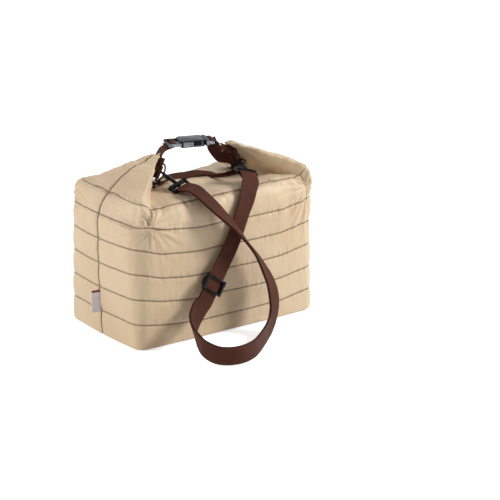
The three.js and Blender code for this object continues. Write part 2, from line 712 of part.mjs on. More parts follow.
function socketBody() {
  const body = beveled(roundedRectangle(socketLength, buckleWidth, 5), buckleHeight, 1.4)
    .translate([socketFrame + socketLength / 2, 0, 0]);
  const rails = pair(0, socketFrame + 2, halfBuckle - 3.4, halfBuckle - 0.2, 2.6);
  const room = block(socketFrame + 4, mouthAt + 5, -halfCavity, halfCavity, -3.4, 3.4);
  const windows = pair(windowEnd - windowLength, windowEnd, halfCavity - 7, halfBuckle + 9, 3.4);
  const bars = [crossBar(2, 2.2, halfBuckle - 1), crossBar(barAt, wireRadius, halfBuckle - 1)];
  return join(cut(body, room, ...windows), ...rails, ...bars);
}

function armShape() {
  const [px, py] = armPivot;
  const tip = mouthAt - armReach + 3;
  const shape = new THREE.Shape();
  shape.moveTo(px - 1, py + 2.6);
  shape.lineTo(windowEnd - 0.6, halfCavity - 0.4).lineTo(windowEnd - 0.6, halfBuckle - 0.1);
  shape.lineTo(windowEnd - 5, halfBuckle - 0.1).lineTo(tip + 3.5, halfBuckle - 2);
  shape.quadraticCurveTo(tip, halfBuckle - 3.6, tip, 12.8).lineTo(tip + 3, 12.4);
  shape.lineTo(windowEnd, halfCavity - 0.4 - armThickness - 0.6).lineTo(px - 1, py - 2);
  return shape;
}

function armBody(side) {
  const [px, py] = armPivot;
  const arm = join(plate(armShape(), 5.4), roundBar(2.8, -2.7, 2.7, 0, 16).translate([px, py, 0]));
  const bored = cut(arm, roundBar(1.7, -9, 9, 0, 14).translate([px, py, 0]));
  return side > 0 ? bored : bored.mirror([0, 1, 0]);
}

function insertBody() {
  const from = mouthAt + gap;
  const base = beveled(roundedRectangle(8, buckleWidth - 1, 2), buckleHeight - 0.6, 1.2)
    .translate([from + 4, 0, 0]);
  const rails = pair(from + 5, insertBar + 1.6, halfBuckle - 4, halfBuckle - 0.6, 2.6);
  const tongue = block(mouthAt - 29, from + 2, -tongueWidth / 2, tongueWidth / 2, -2.4, 2.4);
  const [px, py] = armPivot;
  const pockets = pair(from - 5, px + 3.3, py - 4.2, py + 3.8, 3);
  const pins = [-1, 1].map((side) => roundBar(1.3, -4, 4).translate([px, side * py, 0]));
  const bar = crossBar(insertBar, wireRadius, halfBuckle - 1.5);
  return join(cut(join(base, ...rails), ...pockets), tongue, bar, ...pins);
}

addNode('buckle_socket', seat(buckle, socketBody()), black);
addNode('buckle_insert', seat(buckle, insertBody()), black);
addNode('buckle_arm_front', seat(buckle, armBody(-1)), black);
addNode('buckle_arm_back', seat(buckle, armBody(1)), black);

// Webbing tails from the ears to the buckle. Each goes round its bar and back onto itself.
const aside = v3(0, 1, 0);
const lapOff = bandOff + plyGap + 0.2;
const socketTail = [
  [leftEar(0.76, lapOff).setY(1), aside], [leftEar(0.86, lapOff + 0.1).setY(2), aside],
  [leftEar(0.95, lapOff + 0.5).setY(3.4), v3(0.08, 1, 0)],
  [leftEar(1.02, lapOff + 1.6).setY(5), v3(0.2, 0.97, 0)],
  ...wrapIn(buckle, [[-2.5, -7.2], [2, -6], [6, -5], [10.2, -3.7]]),
  ...wrapIn(buckle, [[13.6, -2.8], [15, -1], [15.1, 0.6], [13.9, 2.5], [12, 3.1], [10, 2.4], [8.7, 0.5],
    [7.2, -1.7], [4.5, -3.1], [0.5, -3.5], [-3, -3.8]]),
];
addNode('socket_webbing', ribbon(route(socketTail, socketTail.length * 2)), brown);

const rightDown = [
  [top(83.4, 0, 7.8), v3(0, 1, 0)], [top(79, -0.5, 10), v3(0.05, 1, 0.1)],
  [top(68, -3.5, 16), v3(0.28, 0.92, 0.25)], [top(56, -7, 24.5), v3(0.42, 0.8, 0.42)],
  [top(45.5, -10.5, 35), v3(0.46, 0.78, 0.4)], [top(37, -14, 46.5), v3(0.4, 0.88, 0.2)],
];
const insertTail = [
  ...rightDown,
  ...wrapIn(buckle, [[11, -6.6], [6, -4.4], [1, -3.15], [-2, -2.4], [-3.1, 0], [-2, 2.4], [0, 3.1], [3, 2],
    [6.4, -1.4], [11, -4.2]].map(([x, z]) => [insertBar + x, z])),
];
addNode('insert_webbing', ribbon(route(insertTail, insertTail.length * 2)), brown);

// Shoulder strap: from the right eye through the slider, down to the floor and up to the left eye
const [leftSet, rightSet] = sets;
const flat = v3(1, 0, -0.5);
const onEdge = v3(0, 0, -1);
// A point this far in front of the bag, at a height that is given for a top edge at 240
const ahead = (x, out, z) => v3(x, -halfDepth - out, (z * topEdge) / 240);
const legTop = ahead(-8, 15.5, 152);
const legFoot = ahead(-66, 25.5, 72);
const straight = [0, 0.2, 0.4, 0.6, 0.8, 0.94, 1].map((share) => [legTop.clone().lerp(legFoot, share), flat]);

function strapEnd(set, next, outer, inner) {
  const across = set.eyeFrame.y.clone();
  const away = next.clone().sub(set.eyeBar);
  away.addScaledVector(across, -away.dot(across)).normalize();
  const out = set.side === 'left' ? across.clone().cross(away) : across.clone().cross(away).negate();
  const at = (list) => list.map(([g, n]) => [
    set.eyeBar.clone().addScaledVector(away, g).addScaledVector(out, n), across]);
  return { outer: at(outer), inner: at(inner) };
}

const around = [[2.2, 2.4], [0, 3.1], [-2.2, 2.2], [-3.1, 0], [-2.2, -2.2], [0, -3.1]];
const rightLap = [...around, [4, -2.6], [8, -2.1], [14, -1.9]];
const rightTurn = strapEnd(rightSet, ahead(50, -10, 248.5), rightLap, []).outer.reverse();
const leftEnd = strapEnd(leftSet, ahead(-60, -18, 248), [[10, 0.6], [5, 1.7], ...around.slice(0, 5)],
  [[0.6, -3.1], [5, -2.5]]);

const strapRoute = [
  ...rightTurn,
  [ahead(50, -10, 248.5), v3(0.82, -0.42, -0.36)], [ahead(37, 3.5, 240.5), v3(0.86, -0.25, -0.4)],
  [ahead(27, 11, 224), v3(0.88, -0.1, -0.42)], [ahead(16, 13.5, 203), flat], [ahead(5, 14.5, 178), flat],
  ...straight,
  [ahead(-78.5, 28.5, 64), v3(0.98, -0.05, -0.5)], [ahead(-89, 34, 57), v3(0.95, 0.1, -0.6)],
  [ahead(-100.5, 43, 50), v3(0.85, 0.25, -0.75)], [ahead(-109, 53, 45.5), v3(0.7, 0.4, -0.9)],
  [ahead(-116, 66, 41), v3(0.5, 0.35, -1)], [ahead(-120.5, 82, 35), v3(0.25, 0.2, -1)],
  [ahead(-119, 99, 25), v3(0.1, 0.05, -1)], [ahead(-110, 115, 18), onEdge], [ahead(-97, 126, 16.2), onEdge],
  [ahead(-82, 131.5, 16), onEdge], [ahead(-64, 131, 16), onEdge], [ahead(-44, 124, 16), onEdge],
  [ahead(-24, 111, 16), onEdge], [ahead(-5, 96, 16), onEdge], [ahead(12, 82, 16), onEdge],
  [ahead(28, 68, 16.4), v3(0.08, 0.02, -1)], [ahead(41, 58, 20), v3(0.3, 0.15, -0.95)],
  [ahead(50.5, 52, 31), v3(0.6, 0.3, -0.7)], [ahead(55.5, 48.5, 45), v3(0.85, 0.4, -0.35)],
  [ahead(57, 45, 60), v3(0.92, 0.42, -0.1)], [ahead(55.5, 42, 75), v3(0.87, 0.49, 0.05)],
  [ahead(52, 39, 88.5), v3(0.77, 0.61, 0.19)], [ahead(42, 36, 109.5), v3(0.63, 0.74, 0.23)],
  [ahead(34, 35, 124), v3(0.51, 0.83, 0.24)], [ahead(25, 34, 138), v3(0.39, 0.9, 0.2)],
  [ahead(15, 33, 152), v3(0.35, 0.92, 0.17)], [ahead(4.5, 31.5, 166.5), v3(0.38, 0.9, 0.19)],
  [ahead(-6.5, 30, 180.5), v3(0.42, 0.87, 0.23)], [ahead(-18.5, 28, 195), v3(0.49, 0.83, 0.28)],
  [ahead(-31.5, 25, 209), v3(0.6, 0.75, 0.29)], [ahead(-43.5, 19, 223), v3(0.75, 0.62, 0.23)],
  [ahead(-51.5, 10, 234), v3(0.87, 0.48, 0.1)], [ahead(-56.5, -1, 242), v3(0.94, 0.33, 0)],
  [ahead(-59.5, -14, 247), v3(0.96, 0.25, 0.05)],
  ...leftEnd.outer,
];
const steps = 2;
const strapStations = route(strapRoute, (strapRoute.length - 1) * steps);
addNode('shoulder_strap', ribbon(strapStations), brown);

// Slider: two bars over the strap, and one under it that the end of the return goes round
const sliderAt = rightTurn.length + 5 + 3;
const sliderShare = (sliderAt + 0.5) / (strapRoute.length - 1);
const middle = route(strapRoute, 1, 0, sliderShare, sliderShare)[0];
const slider = { origin: middle.centre, x: middle.normal.clone().cross(middle.across).negate(),
  y: middle.across, z: middle.normal };
if (slider.x.clone().cross(slider.y).dot(slider.z) < 0) slider.x.negate();
const barRadius = sliderBar / 2;
const overStrap = webbingThickness / 2 + gap + barRadius;
const underStrap = -(webbingThickness / 2 + gap + webbingThickness + gap + barRadius);

function sliderBody() {
  const reach = sliderLength / 2;
  const side = new THREE.Shape();
  side.moveTo(-reach, overStrap - barRadius);
  side.lineTo(-3, underStrap - barRadius).lineTo(3, underStrap - barRadius);
  side.lineTo(reach, overStrap - barRadius);
  side.lineTo(reach, overStrap + barRadius).lineTo(-reach, overStrap + barRadius);
  const inner = webbingWidth / 2 + gap;
  const rail = plate(side, sliderWidth / 2 - inner).rotate([90, 0, 0]);
  const at = inner + (sliderWidth / 2 - inner) / 2;
  const bar = (x, z) => crossBar(x, barRadius, inner + 1).translate([0, 0, z]);
  return join(rail.translate([0, at, 0]), rail.translate([0, -at, 0]), bar(barRadius - reach, overStrap),
    bar(reach - barRadius, overStrap), bar(0, underStrap));
}
addNode('slider', seat(slider, sliderBody()), black);

// The strap's second ply, on its inner side from the slider the long way round to the left eye
const plyShift = -(plyGap + 0.5);
const plyFrom = (sliderAt + 1) * steps;
const plyTo = (strapRoute.length - leftEnd.outer.length) * steps;
const loopedEnd = wrapIn(slider, [[13, underStrap - 0.4], [8, underStrap - 1.6], [4, underStrap - 2.6],
  [0, underStrap - 2.9], [-2.1, underStrap - 2], [-2.9, underStrap], [-2.1, underStrap + 2],
  [0, underStrap + 2.9], [3, underStrap + 2.9], [6, plyShift]]);
const longWay = strapStations.slice(plyFrom, plyTo + 1).map(({ centre, across, normal }) => (
  { centre: centre.clone().addScaledVector(normal, plyShift), across, normal }));
const eyeLap = [longWay.at(-1), ...route([[longWay.at(-1).centre, longWay.at(-1).across],
  ...[...leftEnd.inner].reverse()], 6).slice(1)];
addNode('strap_return', ribbon([...route(loopedEnd, 24), ...longWay.slice(0, -1), ...eyeLap]), brown);

export default bag;
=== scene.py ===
import bpy
import bmesh
import math
import numpy as np
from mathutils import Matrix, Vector, noise


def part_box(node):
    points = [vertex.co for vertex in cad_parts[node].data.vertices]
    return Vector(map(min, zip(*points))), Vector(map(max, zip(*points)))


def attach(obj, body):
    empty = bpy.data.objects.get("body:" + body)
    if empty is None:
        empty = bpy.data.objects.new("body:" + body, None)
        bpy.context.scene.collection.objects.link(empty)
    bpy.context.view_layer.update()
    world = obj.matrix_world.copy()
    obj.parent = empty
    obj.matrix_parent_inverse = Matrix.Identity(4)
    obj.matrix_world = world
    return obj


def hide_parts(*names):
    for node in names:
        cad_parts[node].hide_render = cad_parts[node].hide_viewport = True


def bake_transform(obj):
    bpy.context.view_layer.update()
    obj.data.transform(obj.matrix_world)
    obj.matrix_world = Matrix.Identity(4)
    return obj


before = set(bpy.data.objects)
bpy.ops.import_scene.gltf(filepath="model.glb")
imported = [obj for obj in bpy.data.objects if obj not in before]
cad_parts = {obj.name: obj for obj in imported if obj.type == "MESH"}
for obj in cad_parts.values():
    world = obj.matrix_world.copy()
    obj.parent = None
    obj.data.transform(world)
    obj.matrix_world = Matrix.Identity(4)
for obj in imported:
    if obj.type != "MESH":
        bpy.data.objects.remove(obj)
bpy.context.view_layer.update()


# Quilted shell: two halves of a smooth, lightly padded sand cloth, sewn together along the middle of
# each end. Rows of stitching cross them every 40 mm, the padding swells between the rows, and the
# upper corners are gathered and folded up into two ears.
bag_half_length, bag_half_depth = 178.0, 102.0
base_corner, top_corner, base_edge = 15.0, 32.0, 6.0
channel, puff = 40.0, 2.4
top_edge, shoulder = 240.0, 202.0
quilt_turn = 0.27  # how far up the roof the last row of stitching lies
ear_peak, ear_foot = np.array([64.0, 0, 291]), np.array([94.0, 0, 237])
ridge_middle = np.array([0.0, 0, 246])
ridge_tilt = 5.0  # the ridge rises this much on its left half and falls as much on its right
end_share, fold_share, pinch_share, corner_share = 0.3, 0.38, 0.44, 0.5
end_bulge, side_bulge = 10.0, 4.0  # how far a full bag pushes its ends and sides out
last_row, plain_top = 6, 0.42  # rows of stitching, and how much of a channel lies plain above them
quilt_stitch = 0.0034
edge_off = 0.1  # the sewn edges of each half lie this far from the bag's middle plane
roof_rows = 78
ear_folds = {
    "left_front": [(162, -97, 208), (163, -90, 222), (160, -84, 241),
                   (139, -67, 257), (113, -45, 272), (90, -23, 284)],
    "right_front": [(172, -99, 226), (166, -98, 247), (146, -81, 262), (112, -60, 275), (82, -31, 287)],
    "back": [(170, -95, 222), (167, -91, 241), (150, -61, 253), (125, -37, 267), (88, -14, 286)],
}
ear_creases = {
    "left_front": [(157, -100, 209), (149, -92, 225), (128, -58, 235), (108, -26, 235)],
    "right_front": [(160, -96, 218), (154, -86, 236), (131, -53, 235), (108, -25, 233)],
    "back": [(160, -95, 212), (150, -84, 230), (128, -52, 235), (108, -25, 234)],
}
gathered_points = [  # where creases spread from, how far they reach, and a number that varies them
    ((-156, -98, 206), 60, 1.7), ((163, -98, 220), 75, 6.1), ((-66, 0, 289), 105, 9.4),
    ((66, 0, 289), 95, 3.3), ((-94, 0, 237), 60, 7.7), ((94, 0, 237), 60, 2.9),
]
left_pinch = np.array([-158.0, -98.0])  # the left front corner, where the cloth is pinched to one side


def smooth(value, low, high):
    share = np.clip((value - low) / (high - low), 0, 1)
    return share * share * (3 - 2 * share)


def wall_row(places, height):
    """The shell's outline at one height: place 0 is the middle of an end, 1 the middle of a long side."""
    radius = base_corner + (top_corner - base_corner) * min(height / top_edge, 1)
    low = max(0.0, base_edge - height)
    tuck = base_edge - math.sqrt(base_edge ** 2 - low ** 2)
    reach, depth = bag_half_length - tuck, bag_half_depth - tuck
    swell = 0.45 + 0.55 * float(smooth(height, 0, top_edge * 0.45))
    turn = np.clip((places - end_share) / (corner_share - end_share), 0, 1) * math.pi / 2
    x = np.where(places < corner_share, reach - radius + radius * np.cos(turn),
                 (reach - radius) * (1 - (places - corner_share) / (1 - corner_share)))
    y = np.where(places <= end_share, -(depth - radius) * places / end_share,
                 -(depth - radius) - radius * np.sin(turn))
    along, aside = x / reach, y / depth
    x = x + end_bulge * swell * (1 - aside ** 2) * along ** 3
    y = y - side_bulge * swell * (1 - along ** 2)
    return np.stack([x, y, np.full_like(x, height)], axis=1)


def spline(points, shares):
    """Points on a smooth curve through the given ones; the shares count from 0 to 1 by the given points."""
    points = np.asarray(points, float)
    last = len(points) - 1
    padded = np.vstack([2 * points[0] - points[1], points, 2 * points[-1] - points[-2]])
    out = []
    for share in np.atleast_1d(shares):
        place = min(max(share, 0), 1) * last
        i = min(int(place), last - 1)
        w = place - i
        a, b, c, d = padded[i:i + 4]
        before, here, after = (max(float(np.linalg.norm(q - p)), 1e-6) ** 0.5
                               for p, q in ((a, b), (b, c), (c, d)))
        start = ((b - a) / before - (c - a) / (before + here) + (c - b) / here) * here
        end = ((c - b) / here - (d - b) / (here + after) + (d - c) / after) * here
        out.append(b + start * w + (3 * (c - b) - 2 * start - end) * w ** 2
                   + (2 * (b - c) + start + end) * w ** 3)
    return np.array(out)


def even(points, count):
    """The same line as evenly spaced points."""
    steps = np.concatenate([[0], np.cumsum(np.linalg.norm(np.diff(points, axis=0), axis=1))])
    wanted = np.linspace(0, steps[-1], count)
    return np.stack([np.interp(wanted, steps, points[:, k]) for k in range(3)], axis=1)


def bow(a, b, c, d, count):
    """Evenly spaced points on a bow from a to d, which leaves towards b and arrives from c."""
    t = np.linspace(0, 1, 200)[:, None]
    a, b, c, d = (np.asarray(p, float) for p in (a, b, c, d))
    return even((1 - t) ** 3 * a + 3 * (1 - t) ** 2 * t * b + 3 * (1 - t) * t ** 2 * c + t ** 3 * d, count)


def roof_lines(side, face):
    """The four lines that a quarter of the roof hangs from: seam, fold, crease and middle."""
    seam, fold, crease, middle = wall_row(np.array([0, fold_share, pinch_share, 1.0]), shoulder)
    kind = "back" if face == "back" else side + "_front"
    sunk = 38 if face == "back" else 0  # the back of the roof hangs lower than its front
    samples = np.linspace(0, 1, 240)
    seam_rise, seam_lean = (seam[0] - 6, 0, top_edge + 8), (ear_peak[0] + 56, 0, ear_peak[2] - 8)
    middle_rise = (0, middle[1] + 1, top_edge + 24 - sunk)
    middle_lean = (0, -bag_half_depth * 0.62, top_edge - 26 - sunk * 0.2)
    return [
        bow(seam, seam_rise, seam_lean, ear_peak, roof_rows),
        even(spline([fold, *ear_folds[kind], ear_peak], samples), roof_rows),
        even(spline([crease, *ear_creases[kind], ear_foot], samples), roof_rows),
        bow(middle, middle_rise, middle_lean, ridge_middle, roof_rows),
    ]


def roof_row(places, lines, row, lift):
    """One row of a quarter of the roof, hung between its four lines. The lift raises it by the ridge."""
    seam, fold, crease, middle = (line[row] for line in lines)
    out = wall_row(places, shoulder)
    turn = row / (roof_rows - 1)
    fade = (1 - turn) ** 1.5
    strips = [(0, fold_share, seam, fold), (fold_share, pinch_share, fold, crease),
              (pinch_share, 1, crease, middle)]
    for low, high, start, end in strips:
        inside = (places >= low) & (places <= high)
        share = ((places[inside] - low) / (high - low))[:, None]
        ends = wall_row(np.array([low, high]), shoulder)
        chord = ends[0] + (ends[1] - ends[0]) * share
        out[inside] = start + (end - start) * share + (out[inside] - chord) * fade
        if low == pinch_share:
            out[inside, 2] += lift * (np.sin(math.pi * share[:, 0]) * turn) ** 2
    return out


def settle(grid, across, down, first):
    """Rounds the folds of the roof: each point moves towards its neighbours, along rows and columns."""
    for _ in range(across):
        grid[first:-1, 1:-1] += 0.5 * ((grid[first:-1, 2:] + grid[first:-1, :-2]) / 2 - grid[first:-1, 1:-1])
    low = max(first - 8, 1)
    for _ in range(down):
        grid[low:-1] += 0.5 * ((grid[low + 1:] + grid[low - 1:-2]) / 2 - grid[low:-1])
    return grid


def outward(grid):
    """The direction at each point that leads straight away from the cloth."""
    aside = np.gradient(grid, axis=1)
    above = np.gradient(grid, axis=0)
    normal = np.cross(aside, above)
    return normal / np.maximum(np.linalg.norm(normal, axis=2, keepdims=True), 1e-9)


def rumple(points, scale, seed):
    """A smooth, repeatable unevenness from -1 to 1 at each point."""
    flat = points.reshape(-1, 3) / scale + seed
    return np.array([noise.noise(Vector(p)) for p in flat]).reshape(points.shape[:-1])


def fan(points, centre, reach, seed):
    """Creases that spread from one gathered point and fade with the distance."""
    away = points - np.array(centre, float)
    angle = np.arctan2(away[..., 2], away[..., 0] + 0.3 * away[..., 1])
    distance = np.linalg.norm(away, axis=2)
    spoke = np.stack([np.cos(angle) * 7, np.sin(angle) * 7, distance / 45], axis=2)
    return rumple(spoke, 1, seed) * np.exp(-(distance / reach) ** 2) * smooth(distance, 3, 12)


def lay(name, points, capped=False, **maps):
    """A piece from a grid of points in millimetres. Rows or columns that meet are merged, and a capped
    piece is closed at its ends with its faces turned outward."""
    rows, columns = points.shape[:2]
    sheet = bmesh.new()
    bmesh.ops.create_grid(sheet, x_segments=columns - 1, y_segments=rows - 1, size=1)
    mesh = bpy.data.meshes.new(name)
    sheet.verts.ensure_lookup_table()
    order = np.array([(v.co.y, v.co.x) for v in sheet.verts])
    i = np.rint((order[:, 0] + 1) / 2 * (rows - 1)).astype(int)
    j = np.rint((order[:, 1] + 1) / 2 * (columns - 1)).astype(int)
    places = points[i, j] * 0.001
    sheet.to_mesh(mesh)
    sheet.free()
    mesh.vertices.foreach_set("co", places.ravel())
    corners = np.empty(len(mesh.loops), int)
    mesh.loops.foreach_get("vertex_index", corners)
    for title, values in maps.items():
        layer = mesh.uv_layers.new(name=title)
        layer.data.foreach_set("uv", values[i, j][corners].astype(np.float32).ravel())
    sheet = bmesh.new()
    sheet.from_mesh(mesh)
    bmesh.ops.remove_doubles(sheet, verts=sheet.verts, dist=1e-6)
    if capped:
        bmesh.ops.holes_fill(sheet, edges=[e for e in sheet.edges if e.is_boundary])
        bmesh.ops.recalc_face_normals(sheet, faces=sheet.faces)
    for face in sheet.faces:
        face.smooth = True
    sheet.to_mesh(mesh)
    sheet.free()
    piece = bpy.data.objects.new(name, mesh)
    bpy.context.scene.collection.objects.link(piece)
    return piece


def colour(code):
    """A display colour such as d6bd94 as the shader reads it."""
    parts = [int(code[k:k + 2], 16) / 255 for k in (0, 2, 4)]
    return (*[p / 12.92 if p <= 0.04045 else ((p + 0.055) / 1.055) ** 2.4 for p in parts], 1)


def new_finish(name, base, roughness, metallic=0.0):
    material = bpy.data.materials.new(name)
    material.use_nodes = True
    shader = material.node_tree.nodes["Principled BSDF"]
    shader.inputs["Base Color"].default_value = colour(base)
    shader.inputs["Roughness"].default_value = roughness
    shader.inputs["Metallic"].default_value = metallic
    return material, material.node_tree, shader


def node(tree, kind, inputs=None, **settings):
    made = tree.nodes.new("ShaderNode" + kind)
    for key, value in settings.items():
        setattr(made, key, value)
    for key, value in (inputs or {}).items():
        if isinstance(value, bpy.types.NodeSocket):
            tree.links.new(value, made.inputs[key])
        else:
            made.inputs[key].default_value = value
    return made


def reckon(tree, operation, first, second=0.0):
    return node(tree, "Math", {0: first, 1: second}, operation=operation).outputs[0]


def between(tree, value, low, high, start=0.0, end=1.0):
    """The value eased from the range of low to high into the range of start to end."""
    inputs = {0: value, 1: low, 2: high, 3: start, 4: end}
    return node(tree, "MapRange", inputs, interpolation_type="SMOOTHSTEP").outputs[0]


def mixed(tree, factor, first, second):
    made = node(tree, "Mix", {0: factor}, data_type="RGBA")
    for socket, value in ((made.inputs[6], first), (made.inputs[7], second)):
        if isinstance(value, bpy.types.NodeSocket):
            tree.links.new(value, socket)
        else:
            socket.default_value = value
    return made.outputs[2]


def mottle(tree, place, scale, detail, **more):
    """Soft cloudy unevenness, finer with a larger scale."""
    inputs = {"Vector": place, "Scale": scale, "Detail": detail, **more}
    return node(tree, "TexNoise", inputs).outputs["Fac"]


def thread_bands(tree, place, scale, uneven, way):
    """Fine bands side by side along one direction, as threads lie in a weave."""
    inputs = {"Vector": place, "Scale": scale, "Distortion": uneven}
    return node(tree, "TexWave", inputs, bands_direction=way).outputs["Fac"]


def dashes(tree, along, stitch, low, high):
    """1 on each stitch of a seam and 0 between the stitches, which are as long as given in metres."""
    wave = reckon(tree, "SINE", reckon(tree, "MULTIPLY", along, 2 * math.pi / stitch))
    return between(tree, wave, low, high)


def relief(tree, strength, depth, height, under=None):
    """A raised surface of a depth in metres, laid over another one where that is given."""
    inputs = {"Strength": strength, "Distance": depth, "Height": height}
    if under is not None:
        inputs["Normal"] = under
    return node(tree, "Bump", inputs).outputs[0]


def shell_cloth():
    """Sand cloth: a fine even weave with a slight sheen, brown thread along each quilting row, and painted
    shade beside each row and along the end seams.
    """
    material, tree, shader = new_finish("sand_cloth", "d2b998", 0.55)
    uv = node(tree, "UVMap", uv_map="cloth").outputs[0]
    parts = node(tree, "SeparateXYZ", {0: uv})
    along, rows = parts.outputs[0], parts.outputs[1]
    spread = node(tree, "SeparateXYZ", {0: node(tree, "UVMap", uv_map="spread").outputs[0]}).outputs[0]
    off_row = reckon(tree, "MULTIPLY", reckon(tree, "PINGPONG", rows, 0.5), spread)
    sewn = reckon(tree, "GREATER_THAN", rows, 0.4)  # the cloth is plain below the first row
    dash = dashes(tree, along, quilt_stitch, -0.5, 0.0)
    on_row = between(tree, off_row, 0.0006, 0.0010, 1, 0)
    thread = reckon(tree, "MULTIPLY", reckon(tree, "MULTIPLY", on_row, dash), sewn)
    place = node(tree, "TexCoord").outputs["Object"]
    spot = node(tree, "SeparateXYZ", {0: place})
    # Painted shade: within 3 mm of each end seam, a thin dark seam line widens into painted pinch shade.
    # Within about 2.6 mm of each stitching row, the cloth gets painted crease shade.
    at_end = reckon(tree, "GREATER_THAN", reckon(tree, "ABSOLUTE", spot.outputs[0]), 0.07)
    off_seam = reckon(tree, "ABSOLUTE", spot.outputs[1])
    seam = reckon(tree, "MULTIPLY", between(tree, off_seam, 0.0006, 0.0030, 1.0, 0), at_end)
    painted_shade_and_seam_line = reckon(tree, "MULTIPLY", between(tree, off_row, 0.0004, 0.0026, 0.6, 0), sewn)
    painted_shade_and_seam_line = reckon(tree, "MAXIMUM", painted_shade_and_seam_line, seam)
    patches = mottle(tree, place, 9.0, 4.0)
    sand = mixed(tree, between(tree, patches, 0.3, 0.7), colour("cdb391"), colour("d6bf9f"))
    # The painted shade is a darker brown sand laid over the cloth by that mask.
    sand = mixed(tree, painted_shade_and_seam_line, sand, colour("6f573e"))
    tree.links.new(mixed(tree, thread, sand, colour("5d4532")), shader.inputs["Base Color"])
    fine = mottle(tree, place, 60.0, 3.0)
    tree.links.new(between(tree, fine, 0.2, 0.8, 0.46, 0.62), shader.inputs["Roughness"])
    flat = node(tree, "CombineXYZ", {0: along, 1: reckon(tree, "MULTIPLY", rows, 0.04)}).outputs[0]
    warp, weft = (thread_bands(tree, flat, 350.0, 0.4, way) for way in ("X", "Y"))
    weave = reckon(tree, "MULTIPLY", warp, weft)
    crumple = mottle(tree, place, 30.0, 4.0, Distortion=0.6)
    upright = node(tree, "CombineXYZ", {0: along, 1: reckon(tree, "MULTIPLY", rows, 0.009)}).outputs[0]
    pucker = mottle(tree, upright, 130.0, 3.0)
    pucker = reckon(tree, "MULTIPLY", pucker, between(tree, off_row, 0.0, 0.018, 1.0, 0.15))
    drawn = relief(tree, 0.8, 0.0032, pucker)
    low = relief(tree, 0.5, 0.0022, crumple, drawn)
    high = relief(tree, 0.22, 0.00012, weave, low)
    tree.links.new(relief(tree, 0.6, 0.0004, thread, high), shader.inputs["Normal"])
    shader.inputs["Sheen Weight"].default_value = 0.25
    shader.inputs["Sheen Roughness"].default_value = 0.35
    return material


sand_cloth = shell_cloth()
shell_places = np.unique(np.concatenate([
    np.linspace(0, end_share, 36), np.linspace(end_share, corner_share, 58),
    np.linspace(corner_share, 1, 60)]))
wall_heights = np.unique(np.concatenate([
    np.linspace(0, base_edge, 5), np.arange(base_edge, shoulder, 1.6)]))


def row_drop(x, height):
    """How far the rows of stitching hang down. They sag on the sides and rise at the left end."""
    sag = 9 * smooth(x, -170, -50) * smooth(-x, -178, -90)
    lift = (3.5 + 7 * height / shoulder) * smooth(-x, 128, 178)
    return (sag - lift) * smooth(height, 0, 30)


def quilt_levels(grid):
    """Where each point lies between the rows of stitching, which count from 1 at the bottom."""
    turns = np.arange(roof_rows) / (roof_rows - 1)
    first = shoulder / channel
    level = np.concatenate([wall_heights / channel, np.where(
        turns < quilt_turn, first + (last_row - first) * turns / quilt_turn,
        last_row + plain_top * (turns - quilt_turn) / (1 - quilt_turn))])[:, None]
    x, y = grid[..., 0], grid[..., 1]
    level = level + row_drop(x, level * channel) * (1 - smooth(level, 5.0, 5.8)) / channel
    wavy = rumple(np.stack(np.broadcast_arrays(x, y, level * channel), axis=2), 70, 3.7)
    return level + 0.035 * wavy * smooth(level, 0.2, 1)


def swelling(grid, level, face):
    """How far the cloth stands out at each point, by its padding, tucks, gathers, creases and seams."""
    x, y = grid[..., 0], grid[..., 1]
    share = np.abs(np.sin(math.pi * level)) ** 0.55
    quilted = np.where(level < last_row, share, 1 - smooth(level, 6.1, 6.35)) * smooth(level, 0, 0.1)
    off_row = np.abs(((level + 0.5) % 1) - 0.5) * channel
    near = np.exp(-(off_row / 7) ** 2) * (level > 0.4) * (level < 6.4)
    tucks = rumple(grid * np.array([1, 1, 0.22]), 7, 11.3) * near
    folds = sum(fan(grid, point, reach, seed) for point, reach, seed in gathered_points)
    way = grid[..., :2] - left_pinch
    beside = np.linalg.norm(way, axis=2) * np.sign(way[..., 0] - way[..., 1])
    at_pinch = smooth(level, 5.0, 5.25) * (1 - smooth(level, 6.0, 6.2)) * (x < 0)
    tuck = at_pinch * (2.2 * np.exp(-((beside + 9) / 7) ** 2) - 4.5 * np.exp(-((beside - 1) / 3.5) ** 2))
    gathers = rumple(grid * np.array([1, 1, 0.12]), 13, 5.1)
    gathers = gathers * smooth(level, 3.3, 6.0) * (1 - smooth(level, 6.2, 6.42))
    by_ends = np.clip(smooth(x, 20, 130) + smooth(-x, 120, 170), 0.2, 1)
    soft = rumple(grid, 55, 8.9)
    if face == "front":  # the padding crowds up in front of the ridge webbing
        beside_ridge = np.exp(-((np.abs(y) - 20) / 9) ** 2) * smooth(level, 6.0, 6.2)
        tuck = tuck + 6 * beside_ridge * smooth(-x, -40, 20) * (1 - smooth(-x, 62, 84))
    stands = (puff * quilted + 0.9 * tucks + 1.7 * gathers * by_ends + 1.3 * soft * quilted
              + 3.8 * folds + tuck)
    seam = np.exp(-(np.abs(y) / 3.5) ** 2) * (level < 6.3) * (np.abs(x) > 60)
    puckers = rumple(grid, 8, 2.2) * np.exp(-(np.abs(y) / 12) ** 2) * (np.abs(x) > 60)
    return stands - 2.6 * seam + 0.7 * puckers


def cloth_maps(grid, level):
    """For each point its length along the cloth with its level, and the cloth's height per level."""
    steps = np.linalg.norm(np.diff(grid, axis=1), axis=2)
    run = np.concatenate([np.zeros((len(grid), 1)), np.cumsum(steps, axis=1)], axis=1)
    run = run - run[:, run.shape[1] // 2][:, None]
    climb = np.linalg.norm(np.gradient(grid, axis=0), axis=2)
    spread = climb * 0.001 / np.maximum(np.abs(np.gradient(level, axis=0)), 1e-4)
    uv = np.stack(np.broadcast_arrays(run * 0.001, level), axis=2)
    return uv, np.stack([spread, np.zeros_like(spread)], axis=2)


